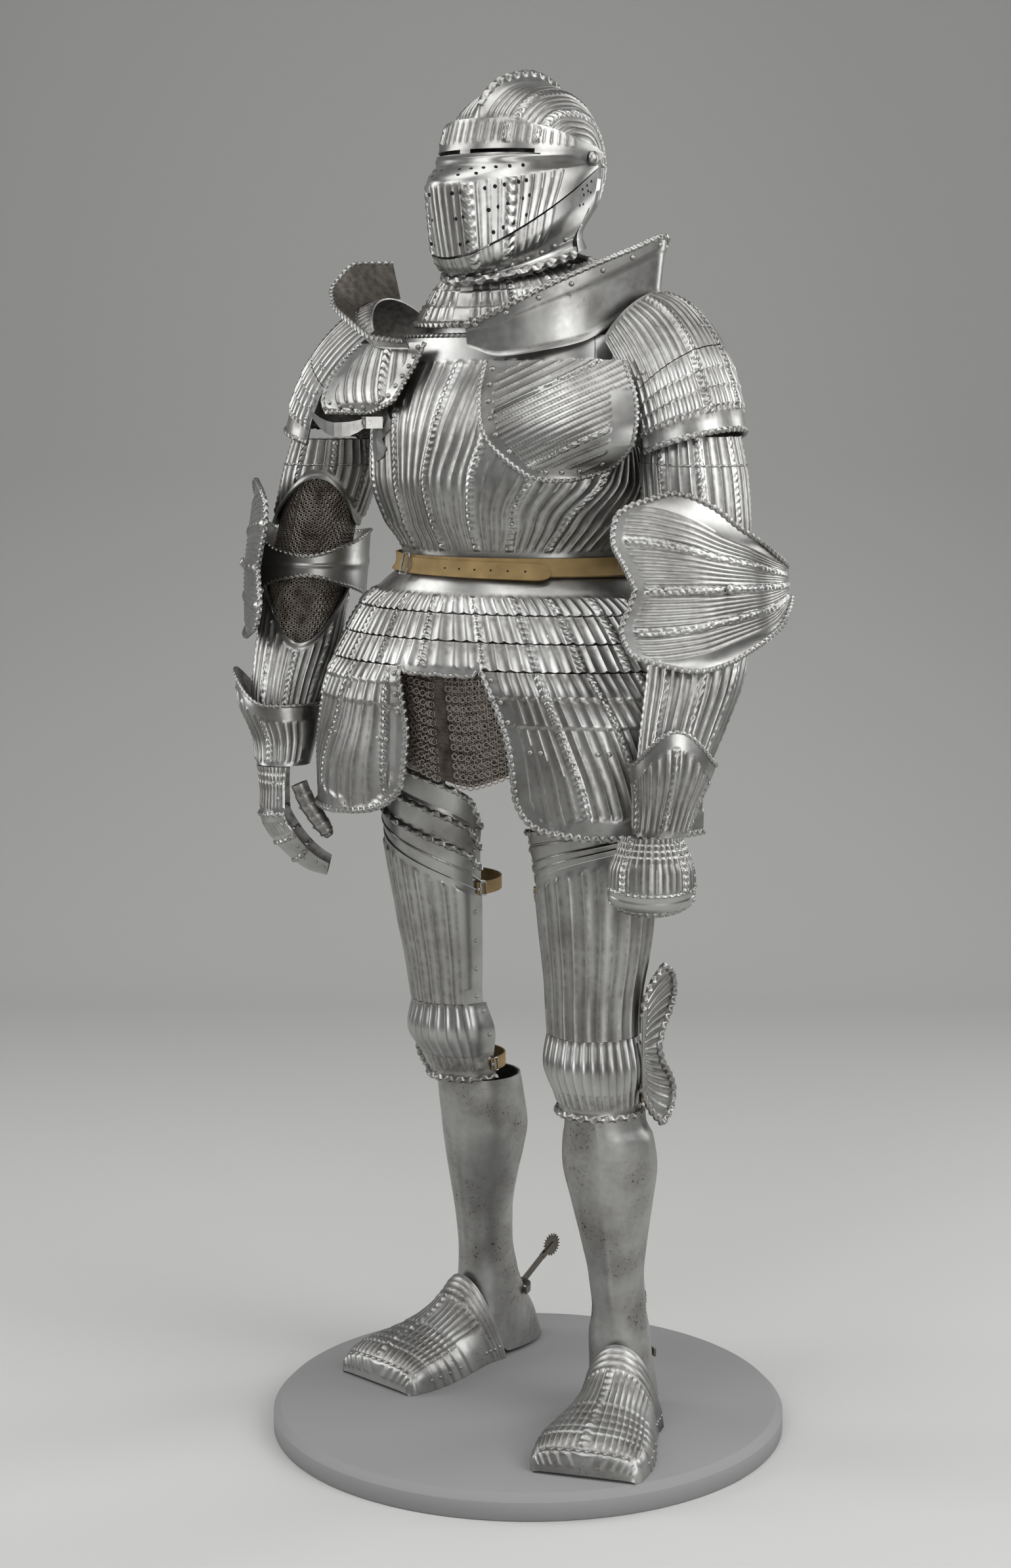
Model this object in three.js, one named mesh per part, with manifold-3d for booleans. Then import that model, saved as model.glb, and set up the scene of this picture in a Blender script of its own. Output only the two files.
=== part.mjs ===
// A fluted field armour of steel plates, with mail at the elbows and below the waist, standing as
// worn on a round display base. Millimetres, +Z up, floor at z = 0; the armour faces -Y and its left
// is +X. Every plate is a wall of its own: a surface worked out from a short table, given thickness.
import * as THREE from 'three';
import { mergeVertices } from 'three/addons/utils/BufferGeometryUtils.js';
import Module from 'manifold-3d';

// ---------- driving dimensions ----------
const PLATE = 2;            // wall of a steel plate, rolled edges and flutes averaged in
const MAIL = 2.4;           // wall of the mail
const LEATHER = 3;          // thickness of the belt
const LAME_RISE = 1.8;      // how far a lame's lower edge stands over the next lame
const SEAM = 0.8;           // gap between two plates of the leg that meet edge to edge
const STEP = 0.012;         // share of a stepped plate's height in which it drops to the next lame
const BASE = { radius: 350, thickness: 34, chamfer: 10, sides: 56 };
const REST_GAP = 0.4;       // gap under the shoes, so that no two solids share a face
const HELMET = { x: 8, y: -7, z: 1698, turn: -6 };   // pivot axis centre, and turn of the head
const PIVOT = { shaft: 4, clearance: 0.4, head: 9, burr: 8, inside: 86, outside: 101.2, tip: 106 };
const FOOT = {
  left: { x: 158, y: 3, turn: 17 },
  right: { x: -158, y: 130, turn: -11 },
};
const ROWEL = { points: 20, tip: 17, root: 12, thickness: 2.4, bore: 2.2 };

const STEEL = { color: 0xb9bcc0, roughness: 0.32, metalness: 1 };
const DARK_STEEL = { color: 0x6d6c6b, roughness: 0.45, metalness: 1 };
const MAIL_STEEL = { color: 0x5c5148, roughness: 0.6, metalness: 0.9 };
const BUFF = { color: 0xb28a4c, roughness: 0.85, metalness: 0 };
const GREY_PAINT = { color: 0x8f9091, roughness: 0.7, metalness: 0 };

const wasm = await Module();
wasm.setup();
const suit = new THREE.Group();
suit.name = 'plate_armour';

// ---------- small helpers ----------
const radians = THREE.MathUtils.degToRad;
const mix = THREE.MathUtils.lerp;
const signedPower = (value, power) => Math.sign(value) * Math.abs(value) ** power;

/** Evenly spaced numbers from first to last. */
function steps(first, last, count) {
  return Array.from({ length: count + 1 }, (_, i) => mix(first, last, i / count));
}

/** Value of one column of a table at a key, by a smooth curve through the rows that never overshoots. */
function smoothColumn(rows, keyName, name, key) {
  const last = rows.length - 1;
  const at = (i) => rows[i][keyName];
  const slope = (i) => (rows[i + 1][name] - rows[i][name]) / (at(i + 1) - at(i));
  const tangent = (i) => {
    if (i === 0) return slope(0);
    if (i === last) return slope(last - 1);
    const before = slope(i - 1);
    const after = slope(i);
    return before * after <= 0 ? 0 : (2 * before * after) / (before + after);
  };
  if (key <= at(0)) return rows[0][name];
  if (key >= at(last)) return rows[last][name];
  let i = 0;
  while (key > at(i + 1)) i += 1;
  const span = at(i + 1) - at(i);
  const t = (key - at(i)) / span;
  return (1 + 2 * t) * (1 - t) ** 2 * rows[i][name] + t * (1 - t) ** 2 * span * tangent(i)
    + t * t * (3 - 2 * t) * rows[i + 1][name] - t * t * (1 - t) * span * tangent(i + 1);
}

/** Rows of numbers turned into objects with the named columns. */
function table(names, ...rows) {
  return rows.map((row) => Object.fromEntries(names.map((name, i) => [name, row[i]])));
}

/** All columns of a table at a key. */
function rowAt(rows, keyName, key) {
  const names = Object.keys(rows[0]).filter((name) => name !== keyName);
  return Object.fromEntries(names.map((name) => [name, smoothColumn(rows, keyName, name, key)]));
}

/**
 * A wall: the outer face is surface(u, v) moved out by each row's lift, and the inner face lies one
 * wall behind it. Edges are closed by strips, so the result is one closed body. `core` is a point on
 * the inner side, and `keep(i, j)` is false for cells that are left open.
 */
function wallGeometry(surface, us, rows, options) {
  const { wall = PLATE, core, closed = false, keep = () => true } = options;
  const columns = us.length;
  const normalAt = (u, v) => {
    const du = (us[us.length - 1] - us[0]) * 1e-3;
    const dv = (rows[rows.length - 1].v - rows[0].v) * 1e-3;
    const uLow = closed ? u - du : Math.max(u - du, us[0]);
    const uHigh = closed ? u + du : Math.min(u + du, us[us.length - 1]);
    const vLow = Math.max(v - dv, rows[0].v);
    const vHigh = Math.min(v + dv, rows[rows.length - 1].v);
    const alongU = surface(uHigh, v).sub(surface(uLow, v));
    const alongV = surface(u, vHigh).sub(surface(u, vLow));
    return alongU.cross(alongV).normalize();
  };
  const outer = [];
  const normals = [];
  let facing = 0;
  for (const row of rows) {
    for (const u of us) {
      const point = surface(u, row.v);
      const normal = normalAt(u, row.v);
      facing += Math.sign(normal.dot(point.clone().sub(core(u, row.v))));
      outer.push(point);
      normals.push(normal);
    }
  }
  const sign = Math.sign(facing);
  const positions = [];
  const push = (offset) => outer.forEach((point, k) => {
    const lift = rows[Math.floor(k / columns)].lift + offset;
    positions.push(...point.clone().addScaledVector(normals[k], sign * lift).toArray());
  });
  push(0);
  push(-wall);
  const inner = outer.length;
  const cellColumns = closed ? columns : columns - 1;
  const vertex = (i, j) => j * columns + (i % columns);
  const present = (i, j) => {
    if (j < 0 || j >= rows.length - 1) return false;
    if (!closed && (i < 0 || i >= cellColumns)) return false;
    return keep((i + cellColumns) % cellColumns, j);
  };
  const index = [];
  const quad = (a, b, c, d) => index.push(...(sign > 0 ? [a, b, c, a, c, d] : [a, c, b, a, d, c]));
  for (let j = 0; j < rows.length - 1; j += 1) {
    for (let i = 0; i < cellColumns; i += 1) {
      if (!present(i, j)) continue;
      const corners = [vertex(i, j), vertex(i + 1, j), vertex(i + 1, j + 1), vertex(i, j + 1)];
      const [a, b, c, d] = corners;
      quad(a, b, c, d);
      quad(inner + a, inner + d, inner + c, inner + b);
      if (!present(i, j - 1)) quad(b, a, inner + a, inner + b);
      if (!present(i, j + 1)) quad(d, c, inner + c, inner + d);
      if (!present(i - 1, j)) quad(a, d, inner + d, inner + a);
      if (!present(i + 1, j)) quad(c, b, inner + b, inner + c);
    }
  }
  const geometry = new THREE.BufferGeometry();
  geometry.setAttribute('position', new THREE.Float32BufferAttribute(positions, 3));
  geometry.setIndex(index);
  geometry.computeVertexNormals();
  return geometry;
}

/** Rows without a lift. */
const plainRows = (values) => values.map((v) => ({ v, lift: 0 }));

/** Rows of a plate stepped at the given values: each lame's lower edge stands over the next. */
function lameRows(values) {
  const step = (values[values.length - 1] - values[0]) * STEP;
  const rows = [{ v: values[0], lift: 0 }];
  values.slice(1, -1).forEach((v) => {
    rows.push({ v: v - step / 2, lift: LAME_RISE });
    rows.push({ v: v + step / 2, lift: 0 });
  });
  rows.push({ v: values[values.length - 1], lift: LAME_RISE });
  return rows;
}

/** Adds a named mesh to a group. */
function add(name, geometry, material, group = suit) {
  const mesh = new THREE.Mesh(geometry, new THREE.MeshStandardMaterial(material));
  mesh.name = name;
  group.add(mesh);
  return mesh;
}

/** A closed geometry as a manifold solid. */
function solid(geometry) {
  const bare = geometry.clone();
  bare.deleteAttribute('normal');
  bare.deleteAttribute('uv');
  const merged = mergeVertices(bare, 1e-4);
  const mesh = new wasm.Mesh({
    numProp: 3,
    vertProperties: new Float32Array(merged.attributes.position.array),
    triVerts: new Uint32Array(merged.index.array),
  });
  return new wasm.Manifold(mesh);
}

/** A manifold solid back as a geometry. */
function geometryOf(body) {
  const mesh = body.getMesh();
  const geometry = new THREE.BufferGeometry();
  geometry.setAttribute('position', new THREE.BufferAttribute(mesh.vertProperties, 3));
  geometry.setIndex(new THREE.BufferAttribute(mesh.triVerts, 1));
  geometry.computeVertexNormals();
  return geometry;
}

// ---------- the two kinds of surface ----------

/**
 * A point on a ring-like form, cut at a height. Angle 0 is the front (-Y) and +90 the left (+X).
 * The section is an ellipse with its own front and back depth, squarer as `square` rises above 2.
 */
function ringPoint(form, angle, z) {
  const row = rowAt(form, 'z', z);
  const power = 2 / row.square;
  const sine = signedPower(Math.sin(radians(angle)), power);
  const cosine = signedPower(Math.cos(radians(angle)), power);
  const depth = cosine > 0 ? row.front : row.back;
  return new THREE.Vector3(row.x + row.side * sine, row.y - depth * cosine, z);
}

/**
 * A point on a form made of arches. Each row has a crest (p, q) and a centre (cp, cq) in the plane
 * that the arches stand on, and swings from the crest to both sides: `half` is its half width, and
 * `sweep` how far it turns, in degrees. `point` above 1 sharpens the crest, below 1 flattens it.
 */
function archPoint(form, u, v) {
  const row = rowAt(form, 'v', v);
  const turn = radians(u * row.sweep);
  const rise = signedPower(Math.cos(turn), row.point);
  const across = signedPower(Math.sin(turn), row.broad);
  return {
    p: mix(row.cp, row.p, rise),
    q: mix(row.cq, row.q, rise),
    side: row.shift + row.half * across,
  };
}

/** An arch form's table: the rows are numbered 0, 1, 2 ... as `v`. */
const ARCH = ['p', 'q', 'cp', 'cq', 'half', 'sweep', 'point', 'broad', 'shift'];
function arches(...rows) {
  const defaults = [0, 0, 0, 0, 0, 90, 1, 1, 0];
  return rows.map((row, v) => {
    const full = Object.fromEntries(ARCH.map((name, i) => [name, row[i] ?? defaults[i]]));
    return { v, ...full };
  });
}

/** A local frame: an origin and the directions of p, q and side. */
function frame(origin, p, q, side) {
  const [o, ep, eq, es] = [origin, p, q, side].map((values) => new THREE.Vector3(...values));
  return (point) => o.clone()
    .addScaledVector(ep, point.p)
    .addScaledVector(eq, point.q)
    .addScaledVector(es, point.side);
}

/** A wall on an arch form in a frame. */
function archWall(form, place, us, rows, options = {}) {
  const surface = (u, v) => place(archPoint(form, u, v));
  const core = (u, v) => {
    const row = rowAt(form, 'v', v);
    return place({ p: row.cp, q: row.cq, side: row.shift });
  };
  return wallGeometry(surface, us, rows, { core, ...options });
}

/** A wall on a ring form. `edge(v)` gives the angles and the height at u = 0..1 and v. */
function ringWall(form, locate, us, rows, options = {}) {
  const { lift = () => 0 } = options;
  const surface = (u, v) => {
    const { angle, z } = locate(u, v);
    const point = ringPoint(form, angle, z);
    const row = rowAt(form, 'z', z);
    const out = new THREE.Vector3(point.x - row.x, point.y - row.y, 0).normalize();
    return point.addScaledVector(out, lift(u, v));
  };
  const core = (u, v) => {
    const { z } = locate(u, v);
    const row = rowAt(form, 'z', z);
    return new THREE.Vector3(row.x, row.y, z);
  };
  return wallGeometry(surface, us, rows, { core, ...options });
}

// ---------- base ----------
function buildBase() {
  const { radius, thickness, chamfer, sides } = BASE;
  const profile = [[0, 0], [radius, 0], [radius, thickness - chamfer], [radius - chamfer, thickness],
    [0, thickness]].map(([x, y]) => new THREE.Vector2(x, y));
  const geometry = new THREE.LatheGeometry(profile, sides);
  geometry.rotateX(Math.PI / 2);
  add('plinth', geometryOf(solid(geometry)), GREY_PAINT);
}

// ---------- trunk: breast, back, waist, skirt ----------
const TRUNK = table(
  ['z', 'side', 'front', 'back', 'square', 'x', 'y'],
  [845, 289, 203, 190, 2.7, 0, 0],
  [906, 290, 205, 188, 2.7, 0, 0],
  [987, 285, 209, 184, 2.55, 0, 0],
  [1028, 277, 211, 180, 2.45, 0, 0],
  [1057, 268, 207, 176, 2.3, 0, 0],
  [1092, 255, 194, 170, 2.2, 0, 0],
  [1126, 238, 182, 162, 2.1, 0, 0],
  [1155, 207, 170, 150, 2, 0, 0],
  [1186, 171, 160, 139, 2, 0, 0],
  [1204, 172, 161, 138, 2, 0, 0],
  [1240, 193, 174, 145, 2.15, 0, 0],
  [1300, 206, 188, 152, 2.3, 0, 0],
  [1350, 206, 184, 155, 2.3, 0, 0],
  [1400, 202, 166, 152, 2.3, 0, 0],
  [1440, 192, 142, 145, 2.3, 0, 0],
  [1478, 176, 127, 132, 2.3, 0, 0],
  [1505, 160, 118, 118, 2.2, 0, 0],
);

// edge of the breastplate at the side and round the armhole, and of the backplate behind it
const BREAST_EDGE = table(
  ['z', 'breast', 'back'],
  [1176, 86, 87],
  [1300, 86, 87],
  [1330, 78, 93],
  [1362, 66, 104],
  [1400, 57, 113],
  [1440, 53, 118],
  [1478, 55, 117],
  [1505, 55, 112],
);
const edgeAt = (z) => rowAt(BREAST_EDGE, 'z', z);

function buildBreastAndBack() {
  const breastZ = [1176, 1204, 1250, 1300, 1350, 1400, 1440, 1476];
  add('breastplate', ringWall(
    TRUNK,
    (u, z) => ({ angle: u * edgeAt(z).breast, z }),
    steps(-1, 1, 11),
    plainRows(breastZ),
  ), STEEL);
  const backZ = [1176, 1204, 1260, 1320, 1400, 1450, 1500];
  add('backplate', ringWall(
    TRUNK,
    (u, z) => ({ angle: 180 + u * (180 - edgeAt(z).back), z }),
    steps(-1, 1, 10),
    plainRows(backZ),
  ), STEEL);
  // the gussets carry the roped edge of the armholes
  for (const [name, side] of [['left', 1], ['right', -1]]) {
    add(`gusset_${name}`, ringWall(
      TRUNK,
      (u, z) => ({ angle: side * (edgeAt(z).breast + mix(0.5, 11, u)), z }),
      [0, 0.5, 1],
      plainRows([1350, 1400, 1440, 1476]),
    ), STEEL);
  }
}

function buildWaist() {
  const belt = { low: 1175, high: 1197, lift: LEATHER + 5.2 };
  add('waist_belt', ringWall(
    TRUNK,
    (u, z) => ({ angle: u, z }),
    steps(0, 342, 19),
    plainRows([belt.low, belt.high]),
    { closed: true, wall: LEATHER, lift: () => belt.lift },
  ), BUFF);
  const front = 84;
  const reach = steps(-front, front, 12);
  const lames = [[1175, 1126.5], [1125.7, 1092.5], [1091.7, 1058.6]];
  lames.forEach(([top, bottom], i) => {
    const lower = i === 2 ? (angle) => (Math.abs(angle) < 10 ? 1049 : bottom) : () => bottom;
    const inner = i === 2 ? [-10.6, -8.8, 0, 8.8, 10.6] : [-14, 0, 14];
    const columns = reach.filter((angle) => Math.abs(angle) > 15).concat(inner).sort((a, b) => a - b);
    add(`fauld_lame_${i + 1}`, ringWall(
      TRUNK,
      (angle, v) => ({ angle, z: mix(top, lower(angle), v) }),
      columns,
      i === 0 ? [{ v: 0, lift: 0 }, { v: 0.42, lift: 0 }, { v: 1, lift: LAME_RISE }]
        : [{ v: 0, lift: 0 }, { v: 1, lift: LAME_RISE }],
    ), STEEL);
  });
  add('culet', ringWall(
    TRUNK,
    (angle, z) => ({ angle, z }),
    steps(front + 2, 360 - front - 2, 10),
    lameRows([1175, 1115, 1062, 1010]),
  ), STEEL);
  // the hem of the mail falls to a point at the front
  const hemAt = (angle) => 902 + Math.min(48, 1.9 * Math.abs(((angle - 2 + 540) % 360) - 180));
  add('mail_skirt', ringWall(
    TRUNK,
    (angle, v) => ({ angle, z: mix(1108, hemAt(angle), v) }),
    steps(2, 339.5, 15),
    plainRows([0, 0.3, 0.65, 1]),
    { closed: true, wall: MAIL, lift: (_, v) => mix(-9, -34, v) },
  ), MAIL_STEEL);
}

// inner edge of each tasset, as an angle at each height
const TASSET_EDGE = {
  left: table(
    ['z', 'inner'],
    [853, 36], [860, 24], [880, 18], [906, 16], [966, 15.5], [1016, 13.5], [1058, 11],
  ),
  right: table(
    ['z', 'inner'],
    [858, 34], [866, 18], [884, 10], [906, 7], [966, 6], [1016, 7.8], [1058, 11],
  ),
};
const TASSET = {
  left: { side: 1, lames: [1057.6, 1025, 990, 853], plate: [950, 900, 868] },
  right: { side: -1, lames: [1057.6, 1034, 1006, 858], plate: [950, 900, 872] },
};
const TASSET_BACK = 84.5;

function buildTassets() {
  for (const [name, { side, lames, plate }] of Object.entries(TASSET)) {
    const rows = lameRows(lames);
    const low = rows.pop();
    rows.push(...plate.map((v) => ({ v, lift: 0 })), { v: low.v, lift: 0 });
    const inner = (z) => rowAt(TASSET_EDGE[name], 'z', z).inner;
    add(`tasset_${name}`, ringWall(
      TRUNK,
      (u, z) => ({ angle: side * mix(inner(z), TASSET_BACK, u), z }),
      steps(0, 1, 7),
      rows,
    ), STEEL);
  }
}

// ---------- lance rest, on the right of the breast ----------
const LANCE_REST = { angle: -36, z: 1366, hinge: 20, pin: 3.4, gap: 0.5 };
// the foot plate follows the breast: inner and outer edge as angles, scalloped like a leaf
const LANCE_FOOT = table(
  ['z', 'inner', 'outer'],
  [1316, -36, -38], [1323, -30, -40], [1333, -28.5, -43], [1345, -32, -43.5], [1358, -27, -44.5],
  [1371, -27.5, -44], [1381, -31, -42],
);
const LANCE_FOOT_LIFT = 2.8;
const CHEEK = { length: 22, width: 5, height: 15, from: 11 };
// the arm is a curved blade: distance from the hinge, drift along the breast, height and half width
const BLADE = table(
  ['v', 'out', 'along', 'up', 'half'],
  [0, 3, 0, -1, 6], [1, 22, -1, -8, 9], [2, 42, -4, -9, 9], [3, 60, -9, 0, 6.5], [4, 72, -13, 14, 3],
);
const BLADE_WALL = 3;

function buildLanceRest() {
  const { angle, z, hinge, pin, gap } = LANCE_REST;
  const seat = ringPoint(TRUNK, angle, z);
  const group = new THREE.Group();
  group.position.copy(seat);
  group.rotation.z = Math.atan2(seat.y, seat.x);
  group.updateMatrix();
  suit.add(group);
  // in this group +X is straight out of the breast, +Y along it and +Z up
  const foot = ringWall(
    TRUNK,
    (u, level) => {
      const row = rowAt(LANCE_FOOT, 'z', level);
      return { angle: mix(row.inner, row.outer, u), z: level };
    },
    [0, 0.5, 1],
    plainRows(LANCE_FOOT.map((row) => row.z)),
    { lift: () => LANCE_FOOT_LIFT },
  );
  foot.applyMatrix4(group.matrix.clone().invert());
  let bracket = solid(foot);
  for (const side of [-1, 1]) {
    const cheek = new THREE.BoxGeometry(CHEEK.length, CHEEK.width, CHEEK.height);
    cheek.translate(CHEEK.length / 2 + LANCE_FOOT_LIFT - 1, side * CHEEK.from, 0);
    bracket = bracket.add(solid(cheek));
  }
  const bore = new THREE.CylinderGeometry(pin, pin, 40, 16);
  bore.translate(hinge, 0, 0);
  add('lance_rest_bracket', geometryOf(bracket.subtract(solid(bore))), STEEL, group);
  const shaft = new THREE.CylinderGeometry(pin - gap / 2, pin - gap / 2, 2 * CHEEK.from + CHEEK.width, 16);
  const barrel = new THREE.CylinderGeometry(pin + 2.6, pin + 2.6, 2 * CHEEK.from - CHEEK.width - 1, 16);
  const blade = wallGeometry(
    (u, v) => {
      const row = rowAt(BLADE, 'v', v);
      return new THREE.Vector3(row.out, row.along, row.up + u * row.half);
    },
    [-1, 0, 1],
    plainRows(steps(0, BLADE.length - 1, 8)),
    { wall: BLADE_WALL, core: (_, v) => new THREE.Vector3(rowAt(BLADE, 'v', v).out, -100, 0) },
  );
  const arm = solid(blade).add(solid(shaft)).add(solid(barrel)).translate(hinge, 0, 0);
  add('lance_rest_arm', geometryOf(arm), STEEL, group);
}

// ---------- gorget ----------
// rows run from the roped lower edge to the collar's top; `rise` lifts the back of each row
const GORGET = table(
  ['v', 'z', 'rise', 'side', 'front', 'back'],
  [0, 1490, 12, 154, 137, 120],
  [1, 1507, 18, 140, 133, 106],
  [2, 1524, 28, 124, 129, 88],
  [3, 1540, 32, 108, 126, 72],
  [4, 1551, 33, 82, 119, 60],
);

function buildGorget() {
  const surface = (angle, v) => {
    const row = rowAt(GORGET, 'v', v);
    const cosine = Math.cos(radians(angle));
    const depth = cosine > 0 ? row.front : row.back;
    const z = row.z + row.rise * (1 - cosine) / 2;
    return new THREE.Vector3(row.side * Math.sin(radians(angle)), -depth * cosine, z);
  };
  add('gorget', wallGeometry(surface, steps(0, 330, 11), [
    { v: 0, lift: 3 }, { v: 1.3, lift: 0 }, { v: 1.38, lift: -LAME_RISE }, { v: 2.5, lift: 0 },
    { v: 2.58, lift: -LAME_RISE }, { v: 4, lift: 0 },
  ], { closed: true, core: (_, v) => new THREE.Vector3(0, -20, rowAt(GORGET, 'v', v).z) }), STEEL);
  // its lowest lame lies under the breast and the back
  add('gorget_yoke', wallGeometry(
    (angle, z) => {
      const depth = Math.cos(radians(angle)) > 0 ? 115 : 106;
      return new THREE.Vector3(145 * Math.sin(radians(angle)), -depth * Math.cos(radians(angle)), z);
    },
    steps(0, 330, 11),
    plainRows([1452, 1492]),
    { closed: true, core: (_, z) => new THREE.Vector3(0, 0, z) },
  ), STEEL);
}

// ---------- helmet ----------
// In the helmet's frame p is forward, q up from the pivots and side the wearer's left.
const helmetPlace = frame([0, 0, 0], [0, -1, 0], [0, 0, 1], [1, 0, 0]);

const SKULL = arches(
  [110, 42, 0, 4, 91, 84, 0.92, 0.92],
  [97, 62, 0, 2, 91, 85, 0.92, 0.92],
  [56, 89, 0, 0, 91, 86, 0.95, 0.95],
  [0, 100, 0, 0, 91, 88],
  [-52, 86, 0, 0, 91, 88],
  [-84, 48, 0, 0, 91, 87],
  [-96, -2, -6, -10, 90, 84],
  [-82, -52, -8, -46, 86, 82],
  [-60, -86, 8, -94, 74, 80],
  [-68, -103, 16, -118, 80, 80],
);
const COMB = table(
  ['v', 'height'],
  [0, 0], [0.8, 5], [2, 12], [3, 13], [4, 12], [5, 10], [6, 5], [7, 0], [9, 0],
);

const VISOR = arches(
  [121, 47, 0, 18, 98, 98, 0.86, 0.9],
  [133, 9, 0, 8, 100, 98, 0.86, 0.9],
  [134, 2, 0, 4, 100, 98, 0.86, 0.9],
  [145, -3, 0, 1, 100, 98, 0.95, 0.93],
  [151, -12, 0, -1, 100, 98, 1.1, 0.97],
  [184, -38, 0, -7, 99, 98, 1.58],
  [177, -82, 0, -12, 99, 98, 1.4],
  [167, -126, 0, -19, 98, 98, 1.1],
);

const BEVOR = arches(
  [165, -128.8, -2, -22, 95, 98, 1.1],
  [158, -139, 0, -44, 95, 96, 1.05],
  [146, -146, 8, -76, 88, 93],
  [131, -150, 16, -104, 78, 92],
  [137, -155, 20, -121, 84, 92],
);

function buildHelmet() {
  const group = new THREE.Group();
  group.position.set(HELMET.x, HELMET.y, HELMET.z);
  group.rotation.z = radians(HELMET.turn);
  suit.add(group);

  const skullUs = [-1, -0.8, -0.6, -0.4, -0.2, -0.06, 0, 0.06, 0.2, 0.4, 0.6, 0.8, 1];
  const skullSurface = (u, v) => {
    const point = archPoint(SKULL, u, v);
    const comb = rowAt(COMB, 'v', v).height * Math.max(0, 1 - Math.abs(u) / 0.055);
    const length = Math.hypot(point.p, point.q);
    point.p *= 1 + comb / length;
    point.q *= 1 + comb / length;
    return helmetPlace(point);
  };
  const skull = wallGeometry(skullSurface, skullUs, plainRows(steps(0, SKULL.length - 1, 9)), {
    core: (_, v) => {
      const row = rowAt(SKULL, 'v', v);
      return helmetPlace({ p: row.cp, q: row.cq, side: 0 });
    },
  });

  const visorUs = [-1, -0.84, -0.68, -0.52, -0.34, -0.17, -0.035, 0.035, 0.17, 0.34, 0.52, 0.68, 0.84, 1];
  const sight = { row: 1, first: 3, bridge: 6, last: 9 };
  const visor = archWall(VISOR, helmetPlace, visorUs, plainRows(steps(0, VISOR.length - 1, 7)), {
    keep: (i, j) => j !== sight.row || i < sight.first || i > sight.last || i === sight.bridge,
  });
  const bevorUs = [-1, -0.84, -0.68, -0.52, -0.34, -0.17, 0, 0.17, 0.34, 0.52, 0.68, 0.84, 1];
  const bevor = archWall(BEVOR, helmetPlace, bevorUs, plainRows(steps(0, BEVOR.length - 1, 4)));

  // one bolt at each temple carries the skull, the bevor and the visor
  const { shaft, clearance, head, burr, inside, outside, tip } = PIVOT;
  const bore = new THREE.CylinderGeometry(shaft + clearance, shaft + clearance, 260, 12);
  bore.rotateZ(Math.PI / 2);
  const pierce = (geometry) => geometryOf(solid(geometry).subtract(solid(bore)));
  add('helmet_skull', pierce(skull), STEEL, group);
  add('helmet_bevor', pierce(bevor), STEEL, group);
  add('helmet_visor', pierce(visor), STEEL, group);
  const profile = [
    [0, inside], [burr, inside], [burr, inside + 1.6], [shaft, inside + 1.6], [shaft, outside],
    [head, outside], [head - 1, outside + 3], [0, tip],
  ].map(([x, y]) => new THREE.Vector2(x, y));
  for (const [name, side] of [['left', 1], ['right', -1]]) {
    const bolt = new THREE.LatheGeometry(profile, 12);
    bolt.rotateZ(-side * Math.PI / 2);
    add(`helmet_pivot_${name}`, geometryOf(solid(bolt)), STEEL, group);
  }
}

// ---------- shoulders ----------
// p is outward from the middle of the body, q is up, side is forward.
const shoulderPlace = (side, out) => frame([side * out, 0, 0], [side, 0, 0], [0, 0, 1], [0, -1, 0]);

const PAULDRON = arches(
  [206, 1530, 168, 1468, 76, 86, 1, 1, 14],
  [240, 1518, 200, 1447, 82, 94, 1, 1, 18],
  [272, 1493, 222, 1430, 84, 100, 1, 1, 24],
  [297, 1462, 240, 1410, 84, 104, 1, 1, 31],
  [315, 1428, 254, 1388, 82, 108, 1, 1, 37],
  [328, 1396, 264, 1366, 79, 110, 1, 1, 42],
  [336, 1360, 272, 1340, 76, 112, 1, 1, 46],
);
// the right shoulder is cut back at the front, to leave room for a couched lance
const PAULDRON_FRONT = { left: 1, right: 0.86 };
const PAULDRON_OUT = { left: 0, right: 9 };

// the wings guard the armpits: inner and outer edge as angles, and how far the outer edge flares
// forward over the front edge of the pauldron
const WING = {
  left: table(
    ['z', 'inner', 'outer', 'flare'],
    [1296, 36, 44, 0], [1300, 30, 49, 0], [1310, 25.5, 57, 8], [1322, 21, 59, 30], [1344, 14.7, 60, 52],
    [1370, 11.3, 60, 56], [1400, 9.2, 59, 54], [1425, 8.2, 57, 48], [1444, 8, 56, 42],
  ),
  right: table(
    ['z', 'inner', 'outer', 'flare'],
    [1379, 36, 50, 46], [1384, 30, 56, 50], [1396, 21.5, 57, 55], [1420, 19, 57, 55], [1448, 17, 57, 46],
    [1468, 16, 55, 32],
  ),
};
const WING_LIFT = 17;
const WING_CURVE = 1.6;     // power with which the flare grows towards the outer edge

// the upright flanges that guard the neck: a lower edge and a free upper edge
const HAUTE = {
  left: table(
    ['v', 'x', 'y', 'z', 'topX', 'topY', 'topZ'],
    [0, 15, -164, 1462, 14, -166, 1487], [1, 60, -157, 1449, 61, -160, 1506],
    [2, 110, -130, 1457, 112, -134, 1534], [3, 146, -98, 1468, 152, -102, 1557],
    [4, 180, -46, 1503, 188, -50, 1582], [5, 198, -6, 1526, 207, -8, 1598],
    [6, 176, 34, 1532, 184, 36, 1594], [7, 150, 66, 1530, 156, 70, 1576],
  ),
  right: table(
    ['v', 'x', 'y', 'z', 'topX', 'topY', 'topZ'],
    [0, -84, -152, 1460, -86, -158, 1470], [1, -140, -134, 1462, -146, -146, 1476],
    [2, -188, -114, 1481, -200, -124, 1498], [3, -222, -84, 1502, -252, -92, 1524],
    [4, -238, -48, 1519, -274, -56, 1550], [5, -238, -10, 1527, -270, -14, 1576],
    [6, -228, 26, 1530, -246, 34, 1578],
  ),
};

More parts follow.
